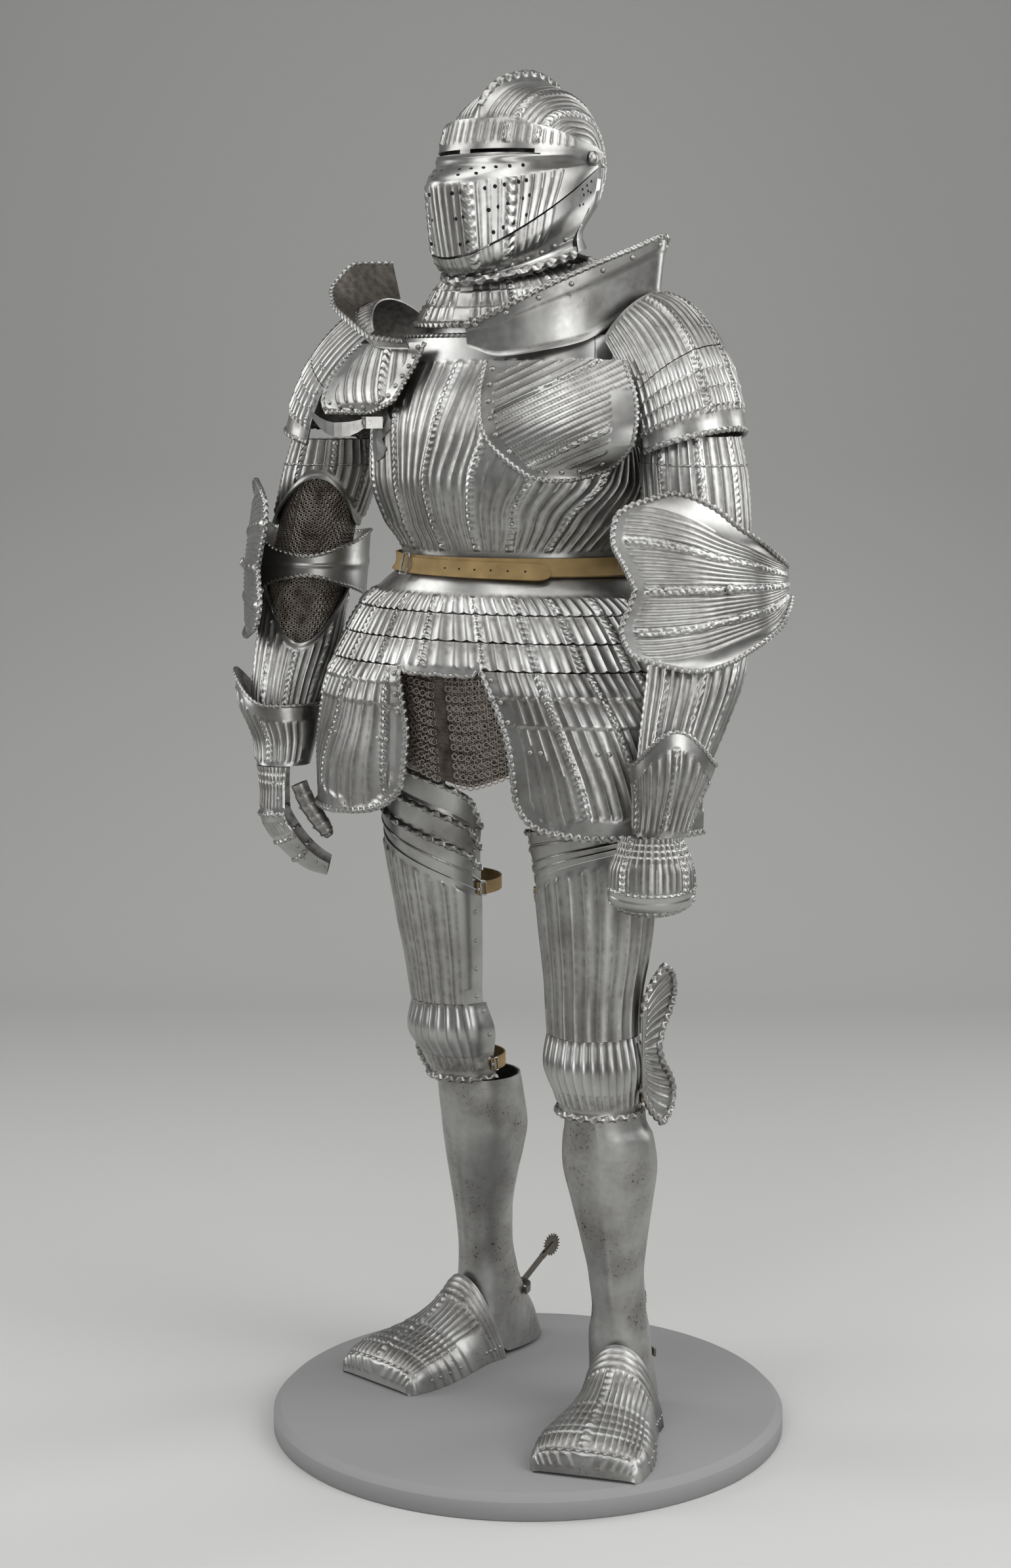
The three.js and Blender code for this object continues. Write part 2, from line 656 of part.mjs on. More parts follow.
function buildShoulders() {
  for (const [name, side] of [['left', 1], ['right', -1]]) {
    const place = shoulderPlace(side, PAULDRON_OUT[name]);
    const us = steps(-1, PAULDRON_FRONT[name], 6);
    add(`pauldron_${name}`, archWall(PAULDRON, place, us, plainRows([0, 1, 2, 2.98])), STEEL);
    const lames = lameRows([3.02, 3.75, 4.45, 5.15, 6]);
    add(`pauldron_${name}_lames`, archWall(PAULDRON, place, us, lames), STEEL);
    const low = WING[name][0].z;
    const high = WING[name][WING[name].length - 1].z;
    add(`pauldron_${name}_wing`, ringWall(
      TRUNK,
      (u, z) => {
        const row = rowAt(WING[name], 'z', z);
        return { angle: side * mix(row.inner, row.outer, u), z };
      },
      steps(0, 1, 6),
      plainRows(name === 'left' ? [low, 1302, 1320, 1350, 1400, high] : [low, 1388, 1405, high]),
      { lift: (u, z) => WING_LIFT + rowAt(WING[name], 'z', z).flare * u ** WING_CURVE },
    ), STEEL);
    const path = HAUTE[name];
    const flange = (u, v) => {
      const row = rowAt(path, 'v', u);
      return new THREE.Vector3(mix(row.x, row.topX, v), mix(row.y, row.topY, v), mix(row.z, row.topZ, v));
    };
    add(`haute_piece_${name}`, wallGeometry(flange, steps(0, path.length - 1, path.length - 1),
      plainRows([0, 1]), { core: () => new THREE.Vector3(0, 0, 1500) }), STEEL);
  }
}

// ---------- arms ----------
// couters and hands are turned by this angle from the front towards the side
const ARM_TURN = radians(34);
const ARM_SINE = Math.sin(ARM_TURN);
const ARM_COSINE = Math.cos(ARM_TURN);

const LIMB = ['z', 'x', 'y', 'side', 'front', 'back', 'square'];
const UPPER_ARM = {
  left: table(
    LIMB,
    [1216, 288, -53, 64, 64, 64, 2], [1250, 284, -50, 66, 66, 66, 2], [1300, 278, -47, 65, 67, 67, 2],
    [1350, 271, -45, 60, 62, 62, 2],
  ),
  right: table(
    LIMB,
    [1224, -334, -28, 60, 60, 60, 2], [1250, -324, -26, 62, 62, 62, 2], [1300, -308, -24, 64, 65, 65, 2],
    [1342, -294, -33, 56, 58, 56, 2],
  ),
};
const LOWER_ARM = {
  left: table(
    LIMB,
    [936, 304, -145, 41, 41, 41, 2], [960, 307, -137, 45, 45, 45, 2], [1005, 312, -123, 52, 53, 53, 2],
    [1050, 315, -106, 58, 59, 59, 2], [1092, 312, -90, 61, 61, 61, 2], [1128, 306, -75, 61, 60, 60, 2],
  ),
  right: table(
    LIMB,
    [962, -338, -97, 40, 40, 40, 2], [990, -341, -88, 45, 46, 46, 2], [1030, -344, -71, 51, 52, 52, 2],
    [1070, -344, -55, 56, 56, 56, 2], [1110, -345, -43, 58, 58, 58, 2], [1142, -344, -35, 59, 59, 59, 2],
  ),
};
const ELBOW = {
  left: table(
    LIMB,
    [1116, 307, -79, 51, 51, 51, 2], [1168, 297, -60, 56, 56, 56, 2], [1226, 287, -52, 58, 58, 58, 2],
  ),
  right: table(
    LIMB,
    [1052, -343, -61, 47, 47, 47, 2], [1105, -345, -44, 51, 51, 51, 2], [1172, -342, -30, 54, 54, 54, 2],
    [1236, -329, -26, 53, 53, 53, 2], [1291, -311, -24, 57, 57, 57, 2],
  ),
};
// the cannons are cut back in the crook of the elbow: the way the cut faces, its level and its depth
const CROOK = {
  left: { upperFacing: -50, lowerFacing: -50, upper: [1216, 8], lower: [1128, 8] },
  right: { upperFacing: 22, lowerFacing: 40, upper: [1224, 66], lower: [1142, 75] },
};

// A couter is a plate that spreads from the point of the elbow into two lobes, and a band that goes
// on round the arm. In its frame p is outward, q toward the point of the elbow and side is up.
const COUTER = {
  left: { x: 297, y: -56, z: 1167, tilt: 0.25 },
  right: { x: -342, y: -28, z: 1172, tilt: 0.08 },
};
const COUTER_TIP = 114;
const COUTER_RIDGE = 8;
const COUTER_REACH = table(
  ['v', 'reach'],
  [0, 236], [0.25, 246], [0.5, 256], [0.75, 250], [0.9, 226], [1, 186],
);
const COUTER_SPREAD = table(
  ['u', 'above', 'below'],
  [0, 20, 17], [0.1, 29, 32], [0.2, 39, 48], [0.34, 55, 60], [0.5, 72, 73], [0.7, 99, 89], [0.9, 114, 96],
  [1, 116, 96],
);
const COUTER_BEND = table(
  ['q', 'p'],
  [-166, 46], [-100, 70], [-30, 83], [30, 77], [80, 52], [100, 34], [114, 15],
);
const BAND = { across: 78, shift: 18, along: 96 };
const BAND_HALF = table(
  ['angle', 'half'],
  [-285, 22], [-230, 38], [-180, 44], [-130, 27], [-90, 13], [-55, 20], [-30, 36], [-2, 52],
);

function buildArms() {
  const round = steps(0, 330, 11);
  const few = steps(0, 315, 7);
  for (const [name, side] of [['left', 1], ['right', -1]]) {
    const crook = CROOK[name];
    const cut = (angle, facing, [level, depth]) =>
      level + depth * Math.max(0, Math.cos(radians(angle - facing))) ** 2;
    const upperCut = (angle) => cut(angle, crook.upperFacing, crook.upper);
    const lowerCut = (angle) => 2 * crook.lower[0] - cut(angle, crook.lowerFacing, crook.lower);
    const shoulder = UPPER_ARM[name].at(-1).z;
    add(`upper_cannon_${name}`, ringWall(
      UPPER_ARM[name],
      (angle, v) => ({ angle, z: mix(upperCut(angle), shoulder, v) }),
      round,
      plainRows([0, 0.5, 1]),
      { closed: true },
    ), STEEL);
    const wrist = LOWER_ARM[name][0].z;
    add(`lower_cannon_${name}`, ringWall(
      LOWER_ARM[name],
      (angle, v) => ({ angle, z: mix(wrist, lowerCut(angle), v) }),
      round,
      plainRows([0, 0.3, 0.65, 1]),
      { closed: true },
    ), STEEL);
    const elbow = ELBOW[name];
    add(`mail_elbow_${name}`, ringWall(
      elbow,
      (angle, z) => ({ angle, z }),
      few,
      plainRows(elbow.map((row) => row.z)),
      { closed: true, wall: MAIL },
    ), MAIL_STEEL);
    const outward = [side * ARM_COSINE, -ARM_SINE, 0];
    const backward = [side * ARM_SINE, ARM_COSINE, 0];
    const centre = COUTER[name];
    const up = [-centre.tilt * outward[0], -centre.tilt * outward[1], 1];
    const place = frame([centre.x, centre.y, centre.z], outward, backward, up);
    const lobes = (u, v) => {
      const q = COUTER_TIP - u * rowAt(COUTER_REACH, 'v', Math.abs(v)).reach;
      const ridge = COUTER_RIDGE * (1 - Math.abs(v)) * Math.sin(Math.PI * Math.min(1, u));
      const spread = rowAt(COUTER_SPREAD, 'u', u);
      return place({
        p: rowAt(COUTER_BEND, 'q', q).p + ridge,
        q,
        side: v * (v > 0 ? spread.above : spread.below),
      });
    };
    const band = (angle, v) => place({
      p: BAND.across * Math.cos(radians(angle)),
      q: BAND.shift + BAND.along * Math.sin(radians(angle)),
      side: v * rowAt(BAND_HALF, 'angle', angle).half,
    });
    const core = () => place({ p: 0, q: 0, side: 0 });
    const lobeRows = plainRows([-1, -0.8, -0.45, 0, 0.45, 0.8, 1]);
    const butterfly = wallGeometry(lobes, steps(0, 1, 6), lobeRows, { core });
    const hoop = wallGeometry(band, [-285, -255, -220, -185, -150, -120, -90, -60, -30, -2],
      plainRows([-1, 0, 1]), { core });
    add(`couter_${name}`, geometryOf(solid(butterfly).add(solid(hoop))), STEEL);
  }
}

// ---------- gauntlets ----------
const CUFF = {
  left: { facing: 34, peak: 46, rim: 952 },
  right: { facing: -60, peak: 44, rim: 984 },
};
const CUFF_FORM = {
  left: table(
    LIMB,
    [868, 302, -163, 35, 33, 33, 2], [900, 304, -155, 40, 38, 38, 2], [952, 308, -143, 53, 55, 50, 2],
    [1000, 305, -133, 57, 63, 56, 2],
  ),
  right: table(
    LIMB,
    [903, -326, -115, 37, 36, 36, 2], [935, -331, -104, 43, 42, 42, 2], [984, -345, -93, 58, 60, 60, 2],
    [1030, -351, -75, 72, 70, 70, 2],
  ),
};
const MITTEN = arches(
  [0, 35, 0, 0, 35, 88], [20, 39, 20, 0, 44, 88], [42, 43, 42, 0, 53, 88], [64, 44, 58, 0, 54, 88],
  [84, 37, 74, -4, 53, 88], [96, 20, 82, -12, 51, 88], [101, 2, 86, -22, 48, 88],
);
const HAND = arches(
  [0, 35, 0, -8, 34, 88], [34, 32, 34, -6, 42, 88], [66, 33, 62, -6, 46, 88], [100, 17, 84, -18, 45, 86],
  [126, -6, 104, -34, 43, 84], [146, -34, 118, -50, 40, 82], [153, -58, 127, -64, 36, 80],
);
const THUMB = arches(
  [24, -20, 20, -30, 12, 150], [48, -29, 44, -40, 12, 150], [72, -44, 66, -54, 12, 150],
  [89, -58, 84, -66, 9, 150], [95, -67, 92, -71, 5, 150],
);
const HAND_PLACE = { left: [294, -170, 866], right: [-326, -115, 901], thumb: [-306, -154, 901] };

function buildGauntlets() {
  for (const name of ['left', 'right']) {
    const { facing, peak, rim } = CUFF[name];
    const wrist = CUFF_FORM[name][0].z;
    add(`gauntlet_${name}_cuff`, ringWall(
      CUFF_FORM[name],
      (angle, v) => {
        const point = Math.max(0, Math.cos(radians(angle - facing))) ** 3;
        return { angle, z: mix(wrist, rim + peak * point, v) };
      },
      steps(0, 330, 11).map((angle) => angle + facing),
      plainRows([0, 0.35, 1]),
      { closed: true },
    ), STEEL);
  }
  const down = [0, 0, -1];
  const left = frame(HAND_PLACE.left, down, [ARM_SINE, -ARM_COSINE, 0], [ARM_COSINE, ARM_SINE, 0]);
  add('gauntlet_left_mitten', archWall(MITTEN, left, steps(-1, 1, 6), plainRows(steps(0, 6, 6))), STEEL);
  const outward = [-ARM_COSINE, -ARM_SINE, 0];
  const forward = [ARM_SINE, -ARM_COSINE, 0];
  const right = frame(HAND_PLACE.right, down, outward, forward);
  add('gauntlet_right_hand', archWall(HAND, right, steps(-1, 1, 6), plainRows(steps(0, 6, 6))), STEEL);
  const thumb = frame(HAND_PLACE.thumb, down, outward, forward);
  add('gauntlet_right_thumb', archWall(THUMB, thumb, steps(-1, 1, 6), plainRows([0, 1, 2, 3, 4])), STEEL);
}

// ---------- legs ----------
const THIGH = {
  left: table(
    LIMB,
    [476, 140, -40, 53, 55, 50, 2], [500, 137, -40, 57, 62, 55, 2], [535, 133, -41, 62, 68, 58, 2],
    [570, 130, -40, 60, 62, 58, 2], [627, 127, -37, 63, 63, 63, 2], [673, 128, -35, 69, 69, 69, 2],
    [712, 127, -33, 74, 74, 74, 2], [779, 123, -30, 79, 80, 79, 2], [830, 116, -30, 82, 83, 80, 2],
    [890, 112, -26, 84, 84, 82, 2],
  ),
  right: table(
    LIMB,
    [462, -154, 80, 52, 55, 50, 2], [490, -158, 76, 57, 62, 55, 2], [525, -162, 70, 67, 72, 58, 2],
    [566, -162, 60, 60, 61, 58, 2], [632, -157, 45, 65, 65, 65, 2], [680, -153, 33, 70, 70, 70, 2],
    [715, -150, 25, 73, 74, 74, 2], [790, -147, 10, 79, 80, 79, 2], [850, -141, 0, 84, 84, 80, 2],
    [900, -136, -2, 85, 84, 82, 2],
  ),
};
const THIGH_EDGE = { inner: -75, outer: 148 };
const KNEE_EDGE = { inner: -80, outer: 118 };
// heights of the poleyn's roped edge, its top, the main plate's upper edge and the lames' upper edge
const THIGH_LEVELS = {
  left: { rope: 470, knee: 572, inner: 744, outer: 826, rise: 2.6, topInner: 834, topOuter: 880, sag: 1 },
  right: { rope: 456, knee: 566, inner: 731, outer: 850, rise: 1.3, topInner: 826, topOuter: 950, sag: 0.4 },
};
const GREAVE = {
  left: table(
    LIMB,
    [38, 152, 3, 46, 50, 74, 2.2], [80, 151, 2, 44, 48, 66, 2.2], [120, 149, 0, 42, 44, 54, 2],
    [155, 147, 0, 41, 42, 46, 2], [190, 148, -2, 36, 40, 38, 2], [235, 147, -8, 37, 40, 37, 2],
    [285, 147, -14, 44, 46, 44, 2], [340, 147, -20, 54, 54, 58, 2], [398, 147, -27, 63, 60, 66, 2],
    [438, 147, -32, 59, 59, 62, 2], [450, 145, -34, 54, 58, 61, 2], [468.5, 144, -35, 53, 57, 60, 2],
  ),
  right: table(
    LIMB,
    [38, -158, 130, 48, 50, 100, 2.2], [80, -158, 130, 46, 48, 84, 2.2], [120, -158, 130, 43, 44, 62, 2],
    [155, -158, 131, 41, 42, 46, 2], [194, -158, 128, 38, 41, 40, 2], [244, -158, 124, 41, 43, 41, 2],
    [299, -154, 117, 49, 50, 49, 2], [337, -148, 109, 55, 55, 58, 2], [382, -143, 100, 60, 58, 66, 2],
    [432, -141, 89, 60, 58, 62, 2], [454.5, -142, 87, 58, 57, 60, 2],
  ),
};
const GREAVE_CUT = table(
  ['angle', 'z'],
  [0, 142], [20, 136], [42, 118], [58, 84], [74, 52], [88, 40], [180, 38],
);

const SABATON = arches(
  [51, 154, 14, 0, 54, 90, 0.95, 0.95], [80, 128, 38, 0, 54, 90, 0.88, 0.95],
  [110, 109, 70, 0, 58, 90, 0.75, 0.95], [144, 96, 112, 0, 68, 90, 0.65, 0.9],
  [174, 88, 152, 0, 75, 90, 0.55, 0.85], [197, 80, 182, 0, 76, 90, 0.5, 0.8],
  [214, 64, 205, 0, 72, 90, 0.42, 0.75], [219, 38, 217, 0, 66, 90, 0.35, 0.7],
);

// the poleyn's wing at the outside of the knee: two lobes with a notch between, v = 0 at the notch
const KNEE_WING = {
  half: 106, root: 0.42, start: 4, rise: 36, gap: 7.5, stand: 4, bend: 9, curl: 0.0006, behind: 14,
};
const KNEE_WING_REACH = table(
  ['v', 'reach'],
  [0, 28], [0.2, 38], [0.45, 62], [0.65, 72], [0.85, 66], [1, 40],
);

const KNEE_ROWS = [
  { v: 0, lift: 2 }, { v: 0.16, lift: 0 }, { v: 0.6, lift: 3 }, { v: 0.86, lift: 2 }, { v: 1, lift: 0 },
];

function buildLegs() {
  for (const [name, side] of [['left', 1], ['right', -1]]) {
    const level = THIGH_LEVELS[name];
    const thigh = THIGH[name];
    // upper edge of the main plate, lower on the inner side of the thigh
    const brink = (u) => mix(level.outer, level.inner, (1 - u) ** level.rise);
    const across = (u) => side * mix(THIGH_EDGE.inner, THIGH_EDGE.outer, u);
    const summit = (u) => mix(level.topInner, level.topOuter, u ** level.sag);
    add(`cuisse_${name}`, ringWall(
      thigh,
      (u, v) => ({ angle: across(u), z: mix(level.knee + SEAM, brink(u), v) }),
      steps(0, 1, 9),
      plainRows([0, 0.3, 0.65, 1]),
    ), STEEL);
    add(`cuisse_lames_${name}`, ringWall(
      thigh,
      (u, v) => ({ angle: across(u), z: mix(brink(u) + SEAM, summit(u), v) }),
      steps(0, 1, 9),
      lameRows([0, 0.38, 0.7, 1]).map((row) => ({ v: row.v, lift: -row.lift })),
    ), STEEL);
    const over = (u) => side * mix(KNEE_EDGE.inner, KNEE_EDGE.outer, u);
    add(`poleyn_${name}`, ringWall(
      thigh,
      (u, v) => ({ angle: over(u), z: mix(level.rope, level.knee, v) }),
      steps(0, 1, 9),
      KNEE_ROWS,
    ), STEEL);
    buildKneeWing(name, side);
    buildFoot(name);
  }
}

function buildKneeWing(name, side) {
  const level = THIGH_LEVELS[name];
  const middle = (level.rope + level.knee) / 2 + KNEE_WING.rise;
  const knee = rowAt(THIGH[name], 'z', middle);
  const x = knee.x + side * (knee.side + KNEE_WING.gap);
  const place = frame([x, knee.y, middle], [side, 0, 0], [0, 1, 0], [0, 0, 1]);
  // p is outward, q backward: the wing bends out from the knee and in again at its edge
  const wing = (u, v) => {
    const half = mix(KNEE_WING.root, 1, Math.sqrt(u)) * KNEE_WING.half;
    const q = KNEE_WING.start + u * rowAt(KNEE_WING_REACH, 'v', Math.abs(v)).reach;
    const p = KNEE_WING.stand + KNEE_WING.bend * u * u - KNEE_WING.curl * (q + KNEE_WING.behind) ** 2;
    return place({ p, q, side: v * half });
  };
  add(`poleyn_wing_${name}`, wallGeometry(
    wing,
    [0, 0.33, 0.66, 1],
    plainRows([-1, -0.75, -0.4, 0, 0.4, 0.75, 1]),
    { core: () => place({ p: -60, q: 0, side: 0 }) },
  ), STEEL);
}

/** The greave with the heel, turned with the foot, then the sabaton and the spur. */
function buildFoot(name) {
  const { x, y, turn } = FOOT[name];
  const form = GREAVE[name];
  const top = form[form.length - 1].z;
  const sine = Math.sin(radians(turn));
  const cosine = Math.cos(radians(turn));
  const surface = (angle, v) => {
    const folded = Math.abs(((angle + 540) % 360) - 180);
    const z = mix(rowAt(GREAVE_CUT, 'angle', folded).z, top, v);
    const { x: dx, y: dy } = ringPoint(form.map((row) => ({ ...row, x: 0, y: 0 })), angle, z);
    const row = rowAt(form, 'z', z);
    return new THREE.Vector3(row.x + dx * cosine - dy * sine, row.y + dx * sine + dy * cosine, z);
  };
  const core = (_, v) => {
    const z = mix(150, top, v);
    const row = rowAt(form, 'z', z);
    return new THREE.Vector3(row.x, row.y, z);
  };
  add(`greave_${name}`, wallGeometry(
    surface,
    steps(0, 324, 9),
    plainRows([0, 0.14, 0.32, 0.5, 0.72, 0.9, 1]),
    { closed: true, core },
  ), STEEL);
  const foot = frame([x, y, 0], [sine, -cosine, 0], [0, 0, 1], [cosine, sine, 0]);
  const floor = BASE.thickness + REST_GAP;
  const shoe = SABATON.map((row) => ({ ...row, cq: floor }));
  add(`sabaton_${name}`, archWall(shoe, foot, steps(-1, 1, 7), plainRows(steps(0, 7, 7))), STEEL);
  buildSpur(name, foot);
}

// ---------- spurs ----------
const SPUR = {
  z: 114, half: 48, band: 10, wall: 3, neck: 58, rise: 42, sweep: 58, bar: 6, cheek: 2, gap: 0.6,
};
const SPUR_HEEL = { left: 64, right: 77 };
const SPUR_SHIFT = { left: -9, right: 0 };

function buildSpur(name, foot) {
  const { z, half, band, wall, neck, rise, sweep, bar, cheek, gap } = SPUR;
  const heel = SPUR_HEEL[name];
  const shift = SPUR_SHIFT[name];
  const yokeRow = (level) => [-heel, level, 0, level + 6, half, sweep, 1, 1, shift];
  const strap = arches(yokeRow(z - band / 2), yokeRow(z + band / 2));
  const yoke = archWall(strap, foot, steps(-1, 1, 10), plainRows([0, 1]), { wall });
  const origin = foot({ p: 0, q: 0, side: 0 });
  const across = foot({ p: 0, q: 0, side: 1 }).sub(origin);
  const back = foot({ p: -1, q: 0, side: 0 }).sub(origin);
  const start = foot({ p: -heel + wall, q: z, side: shift });
  const centre = foot({ p: -heel - neck, q: z + rise, side: shift });
  const direction = centre.clone().sub(start).normalize();
  const basis = new THREE.Matrix4().makeBasis(direction, across, direction.clone().cross(across));
  const length = start.distanceTo(centre);
  const put = (geometry) => geometry.applyMatrix4(basis).translate(start.x, start.y, start.z);
  // the neck stops short of the rowel, and two cheeks carry on to the pin
  const neckLength = length - ROWEL.tip - 4;
  const stem = new THREE.BoxGeometry(neckLength, bar, bar);
  stem.translate(neckLength / 2, 0, 0);
  let spur = solid(yoke).add(solid(put(stem)));
  for (const side of [-1, 1]) {
    const plate = new THREE.BoxGeometry(ROWEL.tip + 12, cheek, bar);
    plate.translate(length - ROWEL.tip / 2 - 2, side * (ROWEL.thickness / 2 + gap + cheek / 2), 0);
    spur = spur.add(solid(put(plate)));
  }
  const pinLength = ROWEL.thickness + 2 * gap + 1.5 * cheek;
  const pin = new THREE.CylinderGeometry(ROWEL.bore - 0.4, ROWEL.bore - 0.4, pinLength, 12);
  pin.translate(length, 0, 0);
  spur = spur.add(solid(put(pin)));
  add(`spur_${name}`, geometryOf(spur), DARK_STEEL);
  buildRowel(name, centre, back);
}

/** A star of points about its bore, standing upright in the plane of the neck. */
function buildRowel(name, centre, back) {
  const star = new THREE.Shape(steps(0, 2 * ROWEL.points - 1, 2 * ROWEL.points - 1).map((k) => {
    const radius = k % 2 ? ROWEL.root : ROWEL.tip;
    const angle = (Math.PI * k) / ROWEL.points;
    return new THREE.Vector2(radius * Math.cos(angle), radius * Math.sin(angle));
  }));
  const hole = new THREE.Path();
  hole.absarc(0, 0, ROWEL.bore, 0, 2 * Math.PI, true);
  star.holes.push(hole);
  const options = { depth: ROWEL.thickness, bevelEnabled: false, curveSegments: 6 };
  const rowel = new THREE.ExtrudeGeometry(star, options);
  rowel.translate(0, 0, -ROWEL.thickness / 2);
  const up = new THREE.Vector3(0, 0, 1);
  const stand = new THREE.Matrix4().makeBasis(back, up, back.clone().cross(up));
  rowel.applyMatrix4(stand).translate(centre.x, centre.y, centre.z);
  add(`rowel_${name}`, geometryOf(solid(rowel)), DARK_STEEL);
}

buildBase();
buildBreastAndBack();
buildWaist();
buildTassets();
buildLanceRest();
buildGorget();
buildHelmet();
buildShoulders();
buildArms();
buildGauntlets();
buildLegs();

export default suit;
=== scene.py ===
"""Fluted field armour on a round base: the plates, mail, leather and stage, as a Blender add-on.

Lengths in the tables are millimetres in the model's own frame: +Z up, the armour faces -Y, its left is +X.
"""
import math

import bpy
import numpy as np
from mathutils import Matrix, Vector


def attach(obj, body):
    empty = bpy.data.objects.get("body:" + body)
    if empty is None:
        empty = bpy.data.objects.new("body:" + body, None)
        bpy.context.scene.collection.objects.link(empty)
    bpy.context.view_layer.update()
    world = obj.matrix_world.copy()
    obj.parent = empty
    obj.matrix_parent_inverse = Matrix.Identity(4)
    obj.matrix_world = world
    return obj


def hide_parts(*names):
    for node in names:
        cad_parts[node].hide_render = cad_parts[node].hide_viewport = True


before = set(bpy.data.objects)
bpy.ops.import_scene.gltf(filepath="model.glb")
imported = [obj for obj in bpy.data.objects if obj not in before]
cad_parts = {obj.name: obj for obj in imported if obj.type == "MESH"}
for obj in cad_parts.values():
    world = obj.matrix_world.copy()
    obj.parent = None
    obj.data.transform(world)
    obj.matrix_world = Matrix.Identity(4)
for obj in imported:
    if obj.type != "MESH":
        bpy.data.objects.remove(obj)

bl_info = {
    "name": "Fluted field armour",
    "version": (1, 0, 0),
    "blender": (4, 5, 0),
    "location": "View3D > Sidebar > Armour",
    "description": "Builds a fluted plate armour on its base, with the stage that shows it",
    "category": "Add Mesh",
}

MM = 0.001
FLOOR_TOP = 34.4  # level of the soles


# ---------- tables ----------
def table(names, *rows):
    """Rows of numbers as a dictionary of named columns."""
    return dict(zip(names.split(), np.array(rows, float).T))


def column(form, key, name, at):
    """A column at keys `at`: cubic Hermite through the rows, tangents the harmonic mean of both slopes."""
    keys, values = form[key], form[name]
    at = np.clip(np.asarray(at, float), keys[0], keys[-1])
    i = np.clip(np.searchsorted(keys, at, side="right") - 1, 0, len(keys) - 2)
    span = np.diff(keys)
    slope = np.diff(values) / span
    a, b = slope[:-1], slope[1:]
    total = np.where(a + b == 0, 1, a + b)
    middle = np.where(a * b <= 0, 0, 2 * a * b / total)
    tangent = np.concatenate([slope[:1], middle, slope[-1:]])
    t = (at - keys[i]) / span[i]
    return (
        (1 + 2 * t) * (1 - t) ** 2 * values[i] + t * (1 - t) ** 2 * span[i] * tangent[i]
        + t * t * (3 - 2 * t) * values[i + 1] - t * t * (1 - t) * span[i] * tangent[i + 1]
    )


def row_at(form, key, at):
    """All columns of a table at keys `at`."""
    return {name: column(form, key, name, at) for name in form if name != key}


def mix(a, b, t):
    """Straight from a at 0 to b at 1."""
    return a + (b - a) * t


def smooth(x, low, high):
    """0 below low, 1 above high, 3t^2 - 2t^3 between."""
    t = np.clip((x - low) / (high - low), 0, 1)
    return t * t * (3 - 2 * t)


def signed_power(value, power):
    """|value|^power with the sign of value."""
    return np.sign(value) * np.abs(value) ** power


# ---------- surfaces ----------
def ring_point(form, angle, z):
    """Superellipse at height z: x = side sin^(2/n), y = -depth cos^(2/n); angle 0 is the front, +90 the
    left."""
    row = row_at(form, "z", z)
    power = 2 / row["square"]
    a = np.radians(angle)
    across = signed_power(np.sin(a), power) * row["side"]
    cosine = signed_power(np.cos(a), power)
    depth = np.where(cosine > 0, row["front"], row["back"]) * cosine
    return np.stack([row.get("x", 0) + across, row.get("y", 0) - depth, z + 0 * across], -1)


def ring_core(form, z):
    """Middle of a ring form at height z."""
    row = row_at(form, "z", z)
    return np.stack([row.get("x", 0 * z) + 0 * z, row.get("y", 0 * z) + 0 * z, z], -1)


ARCH = ("p", "q", "cp", "cq", "half", "sweep", "point", "broad", "shift")


def arches(*rows):
    """Arch rows numbered 0, 1, 2 ... as v, short rows filled with the usual values."""
    usual = (0, 0, 0, 0, 0, 90, 1, 1, 0)
    full = [(v, *row, *usual[len(row):]) for v, row in enumerate(rows)]
    return table("v " + " ".join(ARCH), *full)


def arch_point(form, u, v):
    """Swings from the crest (p, q) towards the centre (cp, cq): rise = cos^point, across = sin^broad."""
    row = row_at(form, "v", v)
    turn = np.radians(u * row["sweep"])
    rise = signed_power(np.cos(turn), row["point"])
    across = signed_power(np.sin(turn), row["broad"])
    return (
        mix(row["cp"], row["p"], rise),
        mix(row["cq"], row["q"], rise),
        row["shift"] + row["half"] * across,
    )


def local_frame(origin, p, q, side):
    """Function from (p, q, side) lengths to model space."""
    o, ep, eq, es = (np.array(x, float) for x in (origin, p, q, side))

    def place(p, q, side):
        p, q, side = np.broadcast_arrays(p, q, side)
        return o + p[..., None] * ep + q[..., None] * eq + side[..., None] * es

    return place


def grid(us, vs):
    """Columns u and rows v as two arrays."""
    return np.meshgrid(np.asarray(us, float), np.asarray(vs, float))


def lengths(points):
    """Arc length along the rows and along the columns of a grid of points."""
    du = np.linalg.norm(np.diff(points, axis=1), axis=2)
    dv = np.linalg.norm(np.diff(points, axis=0), axis=2)
    su = np.pad(np.cumsum(du, 1), ((0, 0), (1, 0)))
    sv = np.pad(np.cumsum(dv, 0), ((1, 0), (0, 0)))
    return su, sv


